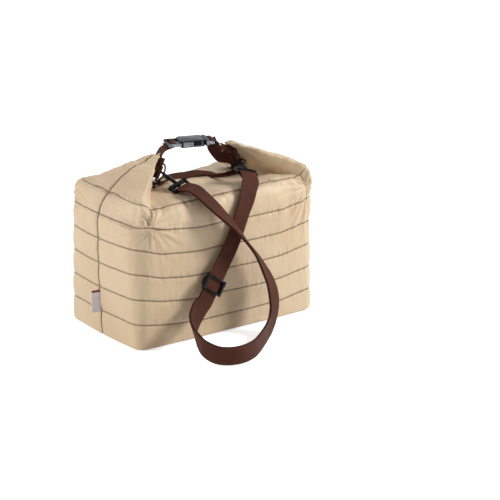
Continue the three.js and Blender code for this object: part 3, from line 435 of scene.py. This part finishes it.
def quilted_half(face):
    sides = {side: roof_lines(side, face) for side in ("left", "right")}
    rows = []
    for height in [*wall_heights, *range(roof_rows)]:
        wall = len(rows) < len(wall_heights)
        halves = [wall_row(shell_places, height) if wall
                  else roof_row(shell_places, sides[side], height, lift)
                  for side, lift in (("left", ridge_tilt), ("right", -ridge_tilt))]
        halves[0][:, 0] *= -1
        rows.append(np.vstack([halves[0][:-1], halves[1][::-1]]))
    grid = settle(np.array(rows), 10, 5, len(wall_heights))
    level = quilt_levels(grid)
    grid = grid + outward(grid) * swelling(grid, level, face)[..., None]
    grid[:, [0, -1], 1] = -edge_off
    grid[-1, :, 1] = -edge_off
    uv, spread = cloth_maps(grid, level)
    if face == "back":
        grid, uv, spread = grid[:, ::-1] * np.array([1, -1, 1]), uv[:, ::-1], spread[:, ::-1]
    return lay("quilted_" + face, grid, cloth=uv, spread=spread)


for face in ("front", "back"):
    half = quilted_half(face)
    half.data.materials.append(sand_cloth)
    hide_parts(face + "_shell")
    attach(half, "bag")


# Base and lining: a flat brown bottom panel under a tub of white foam, with a bright film liner
# welded inside it. All three lie under or inside the shell and are cut from sheet.
def sheet_finish(name, base, roughness, metallic, grain, depth):
    material, tree, shader = new_finish(name, base, roughness, metallic)
    place = node(tree, "TexCoord").outputs["Object"]
    cells = mottle(tree, place, grain, 4.0)
    tree.links.new(relief(tree, 0.4, depth, cells), shader.inputs["Normal"])
    gloss = between(tree, cells, 0.2, 0.8, roughness * 0.85, min(roughness * 1.15, 1))
    tree.links.new(gloss, shader.inputs["Roughness"])
    return material


for name, look in (("base_panel", ("base_cloth", "5b392e", 0.8, 0.0, 900, 0.0003)),
                   ("insulation_tub", ("white_foam", "e8e6e0", 0.9, 0.0, 500, 0.0005)),
                   ("foil_liner", ("bright_film", "c4c6ca", 0.3, 0.9, 70, 0.0012))):
    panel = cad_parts[name]
    panel.data.materials.clear()
    panel.data.materials.append(sheet_finish(*look))


# Rolled mouth: the bag's upper edges are laid together, stiffened and rolled down, so the ridge is a
# flat roll of the same cloth with its last edge lying along the front.
roll_width, roll_height, roll_reach = 26.0, 8.5, 74.0
roll_front = 10.0  # how far the roll's front edge lies before the bag's middle plane
roll_end = 8.0  # the length over which each end of the roll is rounded
webbing_width, webbing_thick, gap, webbing_stitch = 30.0, 1.6, 0.3, 0.004
band_off = gap + webbing_thick / 2
roll_lift = band_off + webbing_thick / 2 + 2 * gap + roll_height / 2


def ridge_at(x):
    share = np.abs(x) / ear_foot[0]
    tilt = np.sign(x) * ridge_tilt * np.sin(math.pi * share) ** 2
    return ridge_middle[2] - (ridge_middle[2] - ear_foot[2]) * share - tilt


def roll_press(x):
    """The share of its full height that the pressed roll keeps, least on the left."""
    return 0.36 + 0.34 * smooth(x, 5, 60)


def mouth_roll():
    stations = np.concatenate([[-74, -73.4, -72], np.linspace(-70, 70, 90), [72, 73.4, 74]])
    angles = np.linspace(0, 2 * math.pi, 49) + math.radians(215)
    cosine, sine = np.cos(angles), np.sin(angles)
    wound = np.linspace(0.93, 1.0, len(angles))
    rings = []
    for x in stations:
        slim = math.sqrt(max(0.02, 1 - (max(0, abs(x) - roll_reach + roll_end) / roll_end) ** 2))
        wide = roll_width / 2 * (0.6 + 0.4 * slim) * (0.6 + 0.4 * float(smooth(x, 10, 60)))
        high = roll_height / 2 * slim * roll_press(x)
        middle = ridge_at(x) + roll_lift - roll_height / 2 * (1 - roll_press(x))
        y = wide * np.sign(cosine) * np.abs(cosine) ** 0.7 * wound + wide - roll_front
        z = middle + high * np.sign(sine) * np.abs(sine) ** 0.8 * wound
        rings.append(np.stack([np.full_like(y, x), y, z], axis=1))
    grid = np.array(rings)
    grid = grid + outward(grid) * (0.5 * rumple(grid * np.array([1, 0.4, 0.4]), 12, 4.4))[..., None]
    grid[:, -1] = grid[:, 0] * 0.5 + grid[:, -1] * 0.5
    grid[:, 0] = grid[:, -1]
    run = np.linspace(0, 0.06, len(angles))[None, :].repeat(len(stations), 0)
    uv = np.stack([np.repeat(stations[:, None] * 0.001, len(angles), 1), 0.2 + run], axis=2)
    return lay("rolled_edge", grid, capped=True, cloth=uv)


roll = mouth_roll()
roll.data.materials.append(sand_cloth)
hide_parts("rolled_mouth")
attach(roll, "bag")


# Mouth webbing: 30 mm brown webbing sewn under the roll. It runs the length of the ridge and on up
# the inner side of each ear, where the buckle's two tails are sewn to it.
def webbing_finish():
    """Brown webbing: crosswise ribs between two smooth edges, slightly uneven in tone."""
    material, tree, shader = new_finish("brown_webbing", "532d22", 0.7)
    uv = node(tree, "UVMap", uv_map="cloth").outputs[0]
    place = node(tree, "TexCoord").outputs["Object"]
    parts = node(tree, "SeparateXYZ", {0: uv})
    across, along = parts.outputs[0], parts.outputs[1]
    ribs = thread_bands(tree, uv, 170.0, 0.6, "Y")
    threads = thread_bands(tree, uv, 210.0, 0.5, "X")
    off_middle = reckon(tree, "ABSOLUTE", across)
    edge = between(tree, off_middle, 0.0122, 0.0130)
    off_seam = reckon(tree, "ABSOLUTE", reckon(tree, "SUBTRACT", off_middle, 0.0118))
    sewn = between(tree, off_seam, 0.0003, 0.0007, 1, 0)
    thread = reckon(tree, "MULTIPLY", sewn, dashes(tree, along, webbing_stitch, -0.4, 0.1))
    worn = mottle(tree, place, 45.0, 5.0)
    brown = mixed(tree, between(tree, worn, 0.3, 0.75), colour("452318"), colour("542d20"))
    brown = mixed(tree, reckon(tree, "MULTIPLY", ribs, 0.25), brown, colour("2c150e"))
    brown = mixed(tree, reckon(tree, "MULTIPLY", edge, 0.35), brown, colour("331a12"))
    brown = mixed(tree, reckon(tree, "MULTIPLY", thread, 0.5), brown, colour("6b4131"))
    tree.links.new(brown, shader.inputs["Base Color"])
    tree.links.new(between(tree, worn, 0.2, 0.8, 0.62, 0.8), shader.inputs["Roughness"])
    woven = reckon(tree, "ADD", ribs, reckon(tree, "MULTIPLY", threads, 0.5))
    woven = reckon(tree, "MULTIPLY", woven, reckon(tree, "SUBTRACT", 1.0, edge))
    body = relief(tree, 0.45, 0.00035, woven)
    tree.links.new(relief(tree, 0.5, 0.0004, thread, body), shader.inputs["Normal"])
    shader.inputs["Specular IOR Level"].default_value = 0.15
    return material


brown_webbing = webbing_finish()


def unit(vector):
    vector = np.asarray(vector, float)
    return vector / np.linalg.norm(vector, axis=-1, keepdims=True)


def route(listed, count, shift=0.0, start=0.0, end=1.0):
    """Centre, width and thickness directions along a smooth route of (point, width direction)."""
    shares = np.linspace(start, end, count + 1)
    points, widths = [p for p, _ in listed], [w for _, w in listed]
    centre, across = spline(points, shares), spline(widths, shares)
    step = 1e-4
    along = unit(spline(points, np.clip(shares + step, 0, 1)) - spline(points, np.clip(shares - step, 0, 1)))
    across = unit(across - along * np.sum(across * along, axis=1, keepdims=True))
    normal = np.cross(along, across)
    return centre + normal * shift, across, normal


def band(name, course, width=webbing_width, fold=None, lip=None):
    """Webbing of a rounded flat section along a course, with its own length and width as its UV map.
    A fold bends its front half back along its middle, by that share of its width. A lip draws it to
    the front and turns its front edge up and back over the roll."""
    centre, across, normal = course
    side = np.array([-1, -0.985, -0.94, -0.62, -0.31, 0, 0.31, 0.62, 0.94, 0.985])
    face = np.array([0, 0.72, 1, 1, 1, 1, 1, 1, 1, 0.72])
    flat = np.concatenate([side, -side, [-1]]) * width / 2
    deep = np.concatenate([face, -face, [0]]) * webbing_thick / 2
    grid = centre[:, None] + across[:, None] * flat[None, :, None] + normal[:, None] * deep[None, :, None]
    if lip is not None:
        drawn, radius, turn_at = lip[0][:, None], lip[1][:, None], -11
        place = flat[None] - drawn
        past = np.clip(turn_at - place, 0, math.pi * radius)
        over = np.maximum(turn_at - place - math.pi * radius, 0)
        bend, size = past / radius, radius - deep[None]
        ahead = np.where(past > 0, turn_at - size * np.sin(bend) + over, place)
        lifted = np.where(past > 0, radius - size * np.cos(bend), deep[None])
        wrapped = centre[:, None] + across[:, None] * ahead[..., None] + normal[:, None] * lifted[..., None]
        grid = np.where((drawn > 0)[..., None], wrapped, grid)
    if fold is not None:
        grid = grid - normal[:, None] * (np.asarray(fold)[:, None] * np.maximum(-flat, 0)[None])[..., None]
    run = np.concatenate([[0], np.cumsum(np.linalg.norm(np.diff(centre, axis=0), axis=1))])
    uv = np.stack(np.broadcast_arrays(flat[None, :] * 0.001, run[:, None] * 0.001), axis=2)
    piece = lay(name, grid, capped=True, cloth=uv)
    piece.data.materials.append(brown_webbing)
    return piece


rise = unit(ear_peak - ear_foot)
inward = np.array([-rise[2], 0, rise[0]])


def up_ear(share, off):
    return ear_foot + (ear_peak - ear_foot) * share + inward * off


def ridge_half(side):
    ridge = [(x, 0, ridge_at(side * x) + band_off) for x in (20, 40, 60, 78)]
    foot = [(85, 0, ear_foot[2] + 2.8), (89, 0, ear_foot[2] + 3), (90.4, 0, ear_foot[2] + 5.4)]
    set_back = 6 if side < 0 else 0  # the left ear's webbing lies a little behind its middle
    ear = [up_ear(share, band_off) + (0, set_back, 0) for share in (0.17, 0.3, 0.55, 0.9)]
    return [np.array(p) * (side, 1, 1) for p in [*ridge, *foot, *ear]]


aside = (0, 1, 0)
tipped = {-1: (0, 0.93, 0.36), 1: (0, 0.99, 0.12)}  # the webbing's front edge droops, most on the left
ridge_top = (np.array([0, 0, ridge_at(0) + band_off - 0.4]), (0, 0.97, 0.24))
mouth_run = [(p, tipped[-1] if p[0] > -80 else aside) for p in ridge_half(-1)[::-1]] + [ridge_top]
mouth_run += [(p, tipped[1] if p[0] < 80 else aside) for p in ridge_half(1)]
mouth_course = route(mouth_run, 360)
mouth_x, mouth_z = mouth_course[0][:, 0], mouth_course[0][:, 2]
on_ear = smooth(mouth_z, 241, 250) * (np.abs(mouth_x) > 60)
turned_up = 16 * smooth(-mouth_x, -60, 10) * smooth(mouth_x, -80, -72)
turn_radius = 1.6 + 0.5 * roll_height * roll_press(mouth_x)
mouth_band = band("ridge_webbing", mouth_course, fold=0.6 * on_ear, lip=(turned_up, turn_radius))
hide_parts("mouth_webbing")
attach(mouth_band, "bag")


# Ring tabs and D-rings: on the inner side of each ear a short tab of narrower webbing is doubled
# round the straight bar of a black wire D-ring, and sewn to the webbing under it.
def axes(origin, along, towards):
    """A frame of its own for a fitting: origin, x along it, y roughly towards the second direction."""
    x = unit(along)
    y = np.asarray(towards, float)
    y = unit(y - x * np.dot(x, y))
    return np.asarray(origin, float), x, y, np.cross(x, y)


def at(frame_of, x, y, z):
    """A point given in a fitting's own frame."""
    origin, ax, ay, az = frame_of
    return origin + ax * x + ay * y + az * z


def wrap_in(frame_of, listed):
    """A course of webbing across a fitting's bar, from places along the fitting and through it."""
    return [(at(frame_of, x, 0, z), frame_of[2]) for x, z in listed]


def metal_finish():
    """Black coated metal: smooth, with faint streaks in the gloss."""
    material, tree, shader = new_finish("black_metal", "0b0d11", 0.3)
    place = node(tree, "TexCoord").outputs["Object"]
    streaks = mottle(tree, place, 220.0, 4.0)
    tree.links.new(between(tree, streaks, 0.25, 0.75, 0.22, 0.4), shader.inputs["Roughness"])
    tone = mixed(tree, between(tree, streaks, 0.55, 0.8), colour("090b0f"), colour("151820"))
    tree.links.new(tone, shader.inputs["Base Color"])
    tree.links.new(relief(tree, 0.12, 0.0002, streaks), shader.inputs["Normal"])
    shader.inputs["Specular IOR Level"].default_value = 0.12
    return material


black_metal = metal_finish()
wire_radius, ring_wire = 2.0, 1.42  # the space that the wire takes in its tab, and the wire itself
ring_width, ring_depth, ring_corner = 26.0, 16.0, 3.4
tab_width, tab_length = 22.0, 13.0
hook_length = 41.0  # from the arch of the ring along the hook to the bar of the swivel eye
ply_gap = webbing_thick + gap
ear_sets = {  # hang leads from the ring's bar to the swivel eye, whose bar lies along eye_width
    "left": dict(bar=(-71.4, -4, 260.8), along=(-rise[0], 0, rise[2]), towards=(-0.12, -0.99, 0.07),
                 hang=(8.4, -53, -15.8), eye_width=(0.95, 0.2, 0.22)),
    "right": dict(bar=(76.5, -21, 267.3), along=(-rise[0], 0, -rise[2]), towards=(-0.417, -0.882, -0.22),
                  hang=(-20.2, -53.8, -13.6), eye_width=(0.8, -0.5, -0.33)),
}


def wire_ring(name, ring):
    half, depth = ring_width / 2 + wire_radius, ring_depth + wire_radius
    angles = np.linspace(0, math.pi, 25)[1:-1]
    arch = [(half * math.cos(t), ring_corner + (depth - ring_corner) * math.sin(t)) for t in angles]
    corner = [(half - 3, 0), (half - 1.6, 0.3), (half - 0.5, 1.3), (half, ring_corner)]
    path = [(0, 0), *corner, *arch, *[(-x, y) for x, y in corner[::-1]], (0, 0)]
    path = np.array([(x, y, 0) for x, y in path])
    along = unit(np.vstack([path[1] - path[-2], path[2:] - path[:-2], path[1] - path[-2]]))
    away = np.stack([along[:, 1], -along[:, 0], np.zeros(len(along))], axis=1)
    turns = np.linspace(0, 2 * math.pi, 17)
    local = path[:, None] + away[:, None] * (ring_wire * np.cos(turns))[None, :, None]
    local = local + np.array([0, 0, 1.0]) * (ring_wire * np.sin(turns))[None, :, None]
    origin, x, y, z = ring
    piece = lay(name, origin + local @ np.stack([x, y, z]), capped=True)
    piece.data.materials.append(black_metal)
    return piece


def tab_course(tab, bar):
    """The way of a tab from its sewn end round the bar of the ring and back on top of itself."""
    off = np.array([abs(bar[0]), bar[1], bar[2]]) - ear_foot
    height = float(np.dot(off, inward)) - band_off
    low, high, end = ply_gap - height, 2 * ply_gap - height, -tab_length - 3
    over = height > 3
    radius = wire_radius + gap + webbing_thick / 2 + 0.1
    turns = [-90, -50, -10, 30, 70, 105] if over else [-165, -120, -80, -40, 0, 40, 80]
    listed = [(end, low), (end + 3, low), (-9, low), (-5, low) if over else (-5.4, low - 0.1),
              *[(radius * math.cos(math.radians(t)), radius * math.sin(math.radians(t))) for t in turns],
              (-4, 1.7 if over else 3.2), (-6.6 if over else -7, 0.2 if over else high),
              (-10, high), (end + 3, high), (end, high)]
    return route(wrap_in(tab, listed), 90)


for side, fitting in ear_sets.items():
    ring = axes(fitting["bar"], fitting["along"], fitting["towards"])
    out = np.array([rise[2] if side == "left" else -rise[2], 0, -abs(rise[0])])
    across = ring[1] if np.dot(np.cross(ring[1], (0, -1, 0)), out) <= 0 else -ring[1]
    tab = (np.array(fitting["bar"], float), np.array([0, -1.0, 0]), across, unit(out))
    doubled = band("ring_loop_" + side, tab_course(tab, fitting["bar"]), tab_width)
    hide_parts("ring_tab_" + side)
    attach(doubled, "bag")
    wire = wire_ring("wire_ring_" + side, ring)
    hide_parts("d_ring_" + side)
    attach(wire, "ring_" + side)
    reach = at(ring, 0, ring_depth + wire_radius, 0)
    axis = unit(ring[0] + fitting["hang"] - reach)
    fitting["eye_frame"] = axes(reach, axis, fitting["eye_width"])
    fitting["eye_bar"] = reach + axis * hook_length


# Hooks, gates and swivel eyes: flat cast hooks that close round the D-rings, each with a sprung gate
# on a pin and a thumb lever, and a swivelling eye whose bar takes the end of the shoulder strap.
def moulded(node_name, body, edge, finish):
    """The part's own solid with its facets merged and its edges rounded."""
    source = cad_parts[node_name]
    mesh = source.data.copy()
    form = bmesh.new()
    form.from_mesh(mesh)
    bmesh.ops.remove_doubles(form, verts=form.verts, dist=2e-5)
    bmesh.ops.dissolve_limit(form, angle_limit=math.radians(1), verts=form.verts, edges=form.edges)
    for face in form.faces:
        face.smooth = True
    form.to_mesh(mesh)
    form.free()
    piece = bpy.data.objects.new(node_name + "_smooth", mesh)
    bpy.context.scene.collection.objects.link(piece)
    rounded = piece.modifiers.new("rounded", "BEVEL")
    rounded.width, rounded.segments, rounded.limit_method = edge, 2, "ANGLE"
    rounded.angle_limit = math.radians(32)
    rounded.harden_normals = True
    mesh.materials.clear()
    mesh.materials.append(finish)
    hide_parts(node_name)
    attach(piece, body)
    return piece


for side in ("left", "right"):
    moulded("hook_" + side, f"hook_{side}_body", 0.0005, black_metal)
    moulded("gate_" + side, f"gate_{side}_body", 0.0003, black_metal)
    moulded("swivel_eye_" + side, "strap", 0.0005, black_metal)


# Side-release buckle: a hollow socket with windows in its sides, and an insert with a guide tongue and
# two arms whose shoulders catch in the windows. All are moulded in black plastic.
def plastic_finish():
    """Black moulded plastic: satin, with a fine grain and a little polish where it is handled."""
    material, tree, shader = new_finish("black_plastic", "0c0e13", 0.3)
    place = node(tree, "TexCoord").outputs["Object"]
    grain = mottle(tree, place, 900.0, 2.0)
    handled = mottle(tree, place, 60.0, 3.0)
    tree.links.new(between(tree, handled, 0.3, 0.7, 0.2, 0.36), shader.inputs["Roughness"])
    tone = mixed(tree, between(tree, handled, 0.4, 0.8), colour("0a0c11"), colour("171b24"))
    tree.links.new(tone, shader.inputs["Base Color"])
    tree.links.new(relief(tree, 0.15, 0.0001, grain), shader.inputs["Normal"])
    shader.inputs["Specular IOR Level"].default_value = 0.14
    return material


def painted_reflection_finish():
    """The same plastic with a painted reflection: its long sides are painted light grey in patches, as if
    they caught the light.
    """
    material, tree, shader = new_finish("plastic_with_painted_reflection", "6f7379", 0.42)
    place = node(tree, "TexCoord").outputs["Object"]
    reflection_patches = mottle(tree, place, 130.0, 5.0)
    # Painted reflection: light grey patches take the place of the black plastic's own colour.
    tone = mixed(tree, between(tree, reflection_patches, 0.35, 0.7), colour("777b82"), colour("b4b8be"))
    tree.links.new(tone, shader.inputs["Base Color"])
    tree.links.new(between(tree, reflection_patches, 0.3, 0.7, 0.34, 0.5), shader.inputs["Roughness"])
    return material


black_plastic = plastic_finish()
painted_reflection_plastic = painted_reflection_finish()
side_way = Vector((-0.3696, -0.929, 0.0))  # the way that the buckle's long sides face
buckle_middle, side_off = Vector((0, -0.008, 0.3)), 0.014
# The long sides of the socket and the insert, away from their middle, get the painted reflection finish.
for node_name, body, least in (("buckle_socket", "bag", 7e-5), ("buckle_insert", "insert", 3e-5)):
    shell = moulded(node_name, body, 0.0005, black_plastic)
    shell.data.materials.append(painted_reflection_plastic)
    for panel in shell.data.polygons:
        if abs(panel.normal.dot(side_way)) > 0.97 and panel.area > least:
            if abs((panel.center - buckle_middle).dot(side_way)) > side_off:
                panel.material_index = 1
moulded("buckle_arm_front", "arm_front", 0.0004, black_plastic)
moulded("buckle_arm_back", "arm_back", 0.0004, black_plastic)
buckle = axes((-48, 8.5, 302.8), (0.93, -0.37, 0.02), (0.37, 0.93, 0))
insert_bar = 75.9


# Buckle webbing: from the left ear's peak a short tail goes round the socket's bar, and from the right
# ear's foot a longer one twists up to the insert's bar. Each is turned back and sewn onto itself.
lap_off = band_off + ply_gap + 0.2


def left_ear(share, off, y):
    return up_ear(share, off) * (-1, 1, 1) + (0, y, 0)


socket_run = [
    (left_ear(0.76, lap_off, 1), aside), (left_ear(0.86, lap_off + 0.1, 2), aside),
    (left_ear(0.95, lap_off + 0.5, 3.4), (0.08, 1, 0)), (left_ear(1.02, lap_off + 1.6, 5), (0.2, 0.97, 0)),
    *wrap_in(buckle, [(-2.5, -7.2), (2, -6), (6, -5), (10.2, -3.7)]),
    *wrap_in(buckle, [(13.6, -2.8), (15, -1), (15.1, 0.6), (13.9, 2.5), (12, 3.1), (10, 2.4),
                      (8.7, 0.5), (7.2, -1.7), (4.5, -3.1), (0.5, -3.5), (-3, -3.8)]),
]
socket_course = route(socket_run, 160)
going_out = np.arange(len(socket_course[0])) < 60
on_left_ear = smooth(-socket_course[0][:, 0], 56, 66) * going_out
socket_tail = band("socket_tail", socket_course, fold=-0.6 * on_left_ear)
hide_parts("socket_webbing")
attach(socket_tail, "bag")

insert_run = [
    ((83.4, 0, 247.8), (0, 1, 0)), ((79, -0.5, 250), (-0.1, 1, 0)),
    ((68, -3.5, 256), (-0.4, 0.88, -0.12)), ((58, -6, 267), (-0.7, 0.62, -0.22)),
    ((48, -9, 277), (-0.78, 0.58, -0.2)), ((37, -14, 288), (-0.62, 0.76, -0.1)),
    *wrap_in(buckle, [(insert_bar + ahead, through) for ahead, through in (
        (11, -6.6), (6, -4.4), (1, -3.15), (-2, -2.4), (-3.1, 0), (-2, 2.4), (0, 3.1), (3, 2),
        (6.4, -1.4), (11, -4.2))]),
]
insert_tail = band("insert_tail", route(insert_run, 200))
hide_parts("insert_webbing")
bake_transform(insert_tail)


# Shoulder strap: one length of 30 mm webbing. It hangs from the right eye down the front, passes the
# slider, lies round in a loop on the ground and climbs, turning over, to the left eye.
def strap_end(fitting, after, outer, inner, left):
    """The strap's turn round an eye's bar, as places ahead of the bar and out from it, for both plies."""
    across = fitting["eye_frame"][2]
    away = np.asarray(after, float) - fitting["eye_bar"]
    away = unit(away - across * np.dot(away, across))
    out = np.cross(across, away) * (1 if left else -1)
    return [[(fitting["eye_bar"] + away * ahead + out * off, across) for ahead, off in listed]
            for listed in (outer, inner)]


round_bar = [(2.2, 2.4), (0, 3.1), (-2.2, 2.2), (-3.1, 0), (-2.2, -2.2), (0, -3.1)]
right_turn = strap_end(ear_sets["right"], (50, -92, 248.5),
                       [*round_bar, (4, -2.6), (8, -2.1), (14, -1.9)], [], False)[0][::-1]
left_turn, left_back = strap_end(ear_sets["left"], (-60, -84, 248),
                                 [(10, 0.6), (5, 1.7), *round_bar[:5]], [(0.6, -3.1), (5, -2.5)], True)
leg_top, leg_foot = np.array([-8, -117.5, 152]), np.array([-66, -127.5, 72])
flat, on_edge = (1, 0, -0.5), (0, 0, -1)
strap_run = [
    *right_turn,
    ((50, -92, 248.5), (0.82, -0.42, -0.36)), ((37, -105.5, 240.5), (0.86, -0.25, -0.4)),
    ((27, -113, 224), (0.88, -0.1, -0.42)), ((16, -115.5, 203), flat), ((5, -116.5, 178), flat),
    *[(leg_top + (leg_foot - leg_top) * share, flat) for share in (0, 0.2, 0.4, 0.6, 0.8, 0.94, 1)],
    ((-78.5, -130.5, 64), (0.98, -0.05, -0.5)), ((-89, -136, 57), (0.95, 0.1, -0.6)),
    ((-100.5, -145, 50), (0.85, 0.25, -0.75)), ((-109, -155, 45.5), (0.7, 0.4, -0.9)),
    ((-116, -168, 41), (0.5, 0.35, -1)), ((-120.5, -184, 35), (0.25, 0.2, -1)),
    ((-119, -201, 25), (0.1, 0.05, -1)), ((-110, -217, 18), on_edge), ((-97, -228, 16.2), on_edge),
    ((-82, -233.5, 16), on_edge), ((-64, -233, 16), on_edge), ((-44, -226, 16), on_edge),
    ((-24, -213, 16), on_edge), ((-5, -198, 16), on_edge), ((12, -184, 16), on_edge),
    ((28, -170, 16.4), (0.08, 0.02, -1)), ((41, -160, 20), (0.3, 0.15, -0.95)),
    ((50.5, -154, 31), (0.6, 0.3, -0.7)), ((55.5, -150.5, 45), (0.85, 0.4, -0.35)),
    ((57, -147, 60), (0.92, 0.42, -0.1)), ((55.5, -144, 75), (0.87, 0.49, 0.05)),
    ((52, -141, 88.5), (0.77, 0.61, 0.19)), ((42, -138, 109.5), (0.63, 0.74, 0.23)),
    ((34, -137, 124), (0.51, 0.83, 0.24)), ((25, -136, 138), (0.39, 0.9, 0.2)),
    ((15, -135, 152), (0.35, 0.92, 0.17)), ((4.5, -133.5, 166.5), (0.38, 0.9, 0.19)),
    ((-6.5, -132, 180.5), (0.42, 0.87, 0.23)), ((-18.5, -130, 195), (0.49, 0.83, 0.28)),
    ((-31.5, -127, 209), (0.6, 0.75, 0.29)), ((-43.5, -121, 223), (0.75, 0.62, 0.23)),
    ((-51.5, -112, 234), (0.87, 0.48, 0.1)), ((-56.5, -101, 242), (0.94, 0.33, 0)),
    ((-59.5, -88, 247), (0.96, 0.25, 0.05)),
    *left_turn,
]
strap = band("strap_band", route(strap_run, (len(strap_run) - 1) * 8))
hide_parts("shoulder_strap")
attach(strap, "strap")


# Slider and inner ply: a black plastic slider grips the strap, and the strap's second ply starts at
# its under bar and follows the first the long way round to the left eye. The loop of that ply round
# the bar is a short piece of its own.
slider_bar = 3.6
slider_at = len(right_turn) + 5 + 3  # five points come before the straight leg, and it lies three down it
last = len(strap_run) - 1
slider_share = (slider_at + 0.5) / last
centre, across, normal = (part[0] for part in route(strap_run, 1, 0, slider_share, slider_share + 1e-9))
slider = (centre, -np.cross(normal, across), across, normal)
if np.dot(np.cross(slider[1], slider[2]), slider[3]) < 0:
    slider = (centre, -slider[1], across, normal)
moulded("slider", "slider_body", 0.0009, black_plastic)
under = -(webbing_thick / 2 + gap + webbing_thick + gap + slider_bar / 2)
ply_shift = -(ply_gap + 0.5)
looped = wrap_in(slider, [
    (13, under - 0.4), (8, under - 1.6), (4, under - 2.6), (0, under - 2.9), (-2.1, under - 2),
    (-2.9, under), (-2.1, under + 2), (0, under + 2.9), (3, under + 2.9), (6, ply_shift)])
ply_from, ply_to = (slider_at + 2.6) / last, (len(strap_run) - len(left_turn)) / last
long_way = route(strap_run, 340, ply_shift, ply_from, ply_to)
loop_end = route([*looped, (long_way[0][0], long_way[1][0])], 90)
near_eye = route([(long_way[0][-1], long_way[1][-1]), *left_back[::-1]], 12)
inner = [np.concatenate([long_way[k], near_eye[k][1:]]) for k in range(3)]
inner_ply = band("strap_inner_ply", inner)
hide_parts("strap_return")
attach(inner_ply, "strap")
slider_loop = band("slider_loop", loop_end)
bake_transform(slider_loop)


# Label: a blank woven label folded in two and sewn into the left end's seam, with a dark red stitch
# line along its upper edge.
def label_finish():
    material, tree, shader = new_finish("label_cloth", "ded9e4", 0.7)
    place = node(tree, "TexCoord").outputs["Object"]
    high = node(tree, "SeparateXYZ", {0: place}).outputs[2]
    weave = mottle(tree, place, 1500.0, 2.0)
    plain = mixed(tree, weave, colour("d9d3df"), colour("e6e2ea"))
    toned = mixed(tree, between(tree, high, 0.0762, 0.077), plain, colour("7a2f31"))
    tree.links.new(toned, shader.inputs["Base Color"])
    tree.links.new(relief(tree, 0.4, 0.0002, weave), shader.inputs["Normal"])
    return material


low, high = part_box("label_tag")
seam_x, label_reach, label_thick = -184.6, 16.5, 0.0008
share = np.linspace(0, 1, 15)
bend = 0.8 * np.sin(math.pi * share) + 1.5 * share ** 2
columns = np.stack([seam_x - label_reach * share, -0.6 + 1.9 * share + bend * 0.5, np.zeros(15)], axis=1)
heights = np.linspace(low.z * 1000, high.z * 1000, 25)
card = np.array([columns + (0, 0.5 * math.sin(k * 0.5), z) for k, z in enumerate(heights)])
tag = lay("blank_label", card)
stiffened = tag.modifiers.new("thick", "SOLIDIFY")
stiffened.thickness, stiffened.offset = label_thick, 0
tag.data.materials.append(label_finish())
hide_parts("label_tag")
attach(tag, "bag")


# Floor, light and camera: a plain pale floor under a white surround, soft light from the right front
# and a weaker one from the left, seen from the left front a little above the bag.
def looked_at(tree):
    """1 where a surface is seen, also in a gloss or through something clear, and 0 for its light."""
    rays = node(tree, "LightPath").outputs
    seen = reckon(tree, "MAXIMUM", rays["Is Camera Ray"], rays["Is Glossy Ray"])
    return reckon(tree, "MAXIMUM", seen, rays["Is Transmission Ray"])


floor_glow = 0.62  # how brightly the floor itself is seen to shine
sky_light = 0.3  # the surround looks white, but lights the bag with only this share of it


def floor_finish():
    material, tree, shader = new_finish("pale_floor", "f4f4f4", 0.9)
    glow = reckon(tree, "MULTIPLY", looked_at(tree), floor_glow)
    shader.inputs["Emission Color"].default_value = (1, 1, 1, 1)
    tree.links.new(glow, shader.inputs["Emission Strength"])
    return material


ground = bmesh.new()
bmesh.ops.create_grid(ground, x_segments=1, y_segments=1, size=6)
bmesh.ops.translate(ground, verts=ground.verts, vec=(0, 0, -0.0004))
floor_mesh = bpy.data.meshes.new("floor")
ground.to_mesh(floor_mesh)
ground.free()
floor = bpy.data.objects.new("floor", floor_mesh)
bpy.context.scene.collection.objects.link(floor)
floor_mesh.materials.append(floor_finish())

world = bpy.data.worlds.new("surround")
bpy.context.scene.world = world
world.use_nodes = True
sky = world.node_tree
sky.nodes.clear()
strength = node(sky, "MapRange", {0: looked_at(sky), 1: 0.0, 2: 1.0, 3: sky_light, 4: 1.0}).outputs[0]
glow = node(sky, "Background", {"Color": (1, 1, 1, 1), "Strength": strength})
sky.links.new(glow.outputs[0], node(sky, "OutputWorld").inputs["Surface"])


def lamp(name, place, aim, size, power):
    data = bpy.data.lights.new(name, "AREA")
    data.size, data.energy = size, power
    made = bpy.data.objects.new(name, data)
    bpy.context.scene.collection.objects.link(made)
    made.location = place
    made.rotation_mode = "QUATERNION"
    made.rotation_quaternion = (Vector(aim) - Vector(place)).to_track_quat("-Z", "Y")


lamp("key", (1.5, -1.3, 1.5), (0, 0, 0.12), 0.6, 48)
lamp("fill", (-2.3, 0.7, 1.1), (0, 0, 0.12), 0.9, 36)

turn, tilt, distance = math.radians(-35.61), math.radians(17.87), 3.008
back = Vector((math.sin(turn) * math.cos(tilt), -math.cos(turn) * math.cos(tilt), math.sin(tilt)))
eye = bpy.data.objects.new("camera", bpy.data.cameras.new("camera"))
bpy.context.scene.collection.objects.link(eye)
eye.location = Vector((0, 0, 0.11)) + back * distance
eye.rotation_mode = "QUATERNION"
eye.rotation_quaternion = (-back).to_track_quat("-Z", "Y")
eye.data.sensor_width, eye.data.lens = 36, 128.9
eye.data.shift_x, eye.data.shift_y = 0.1142, 0.0032
bpy.context.scene.camera = eye
bpy.context.scene.view_settings.view_transform = "Standard"
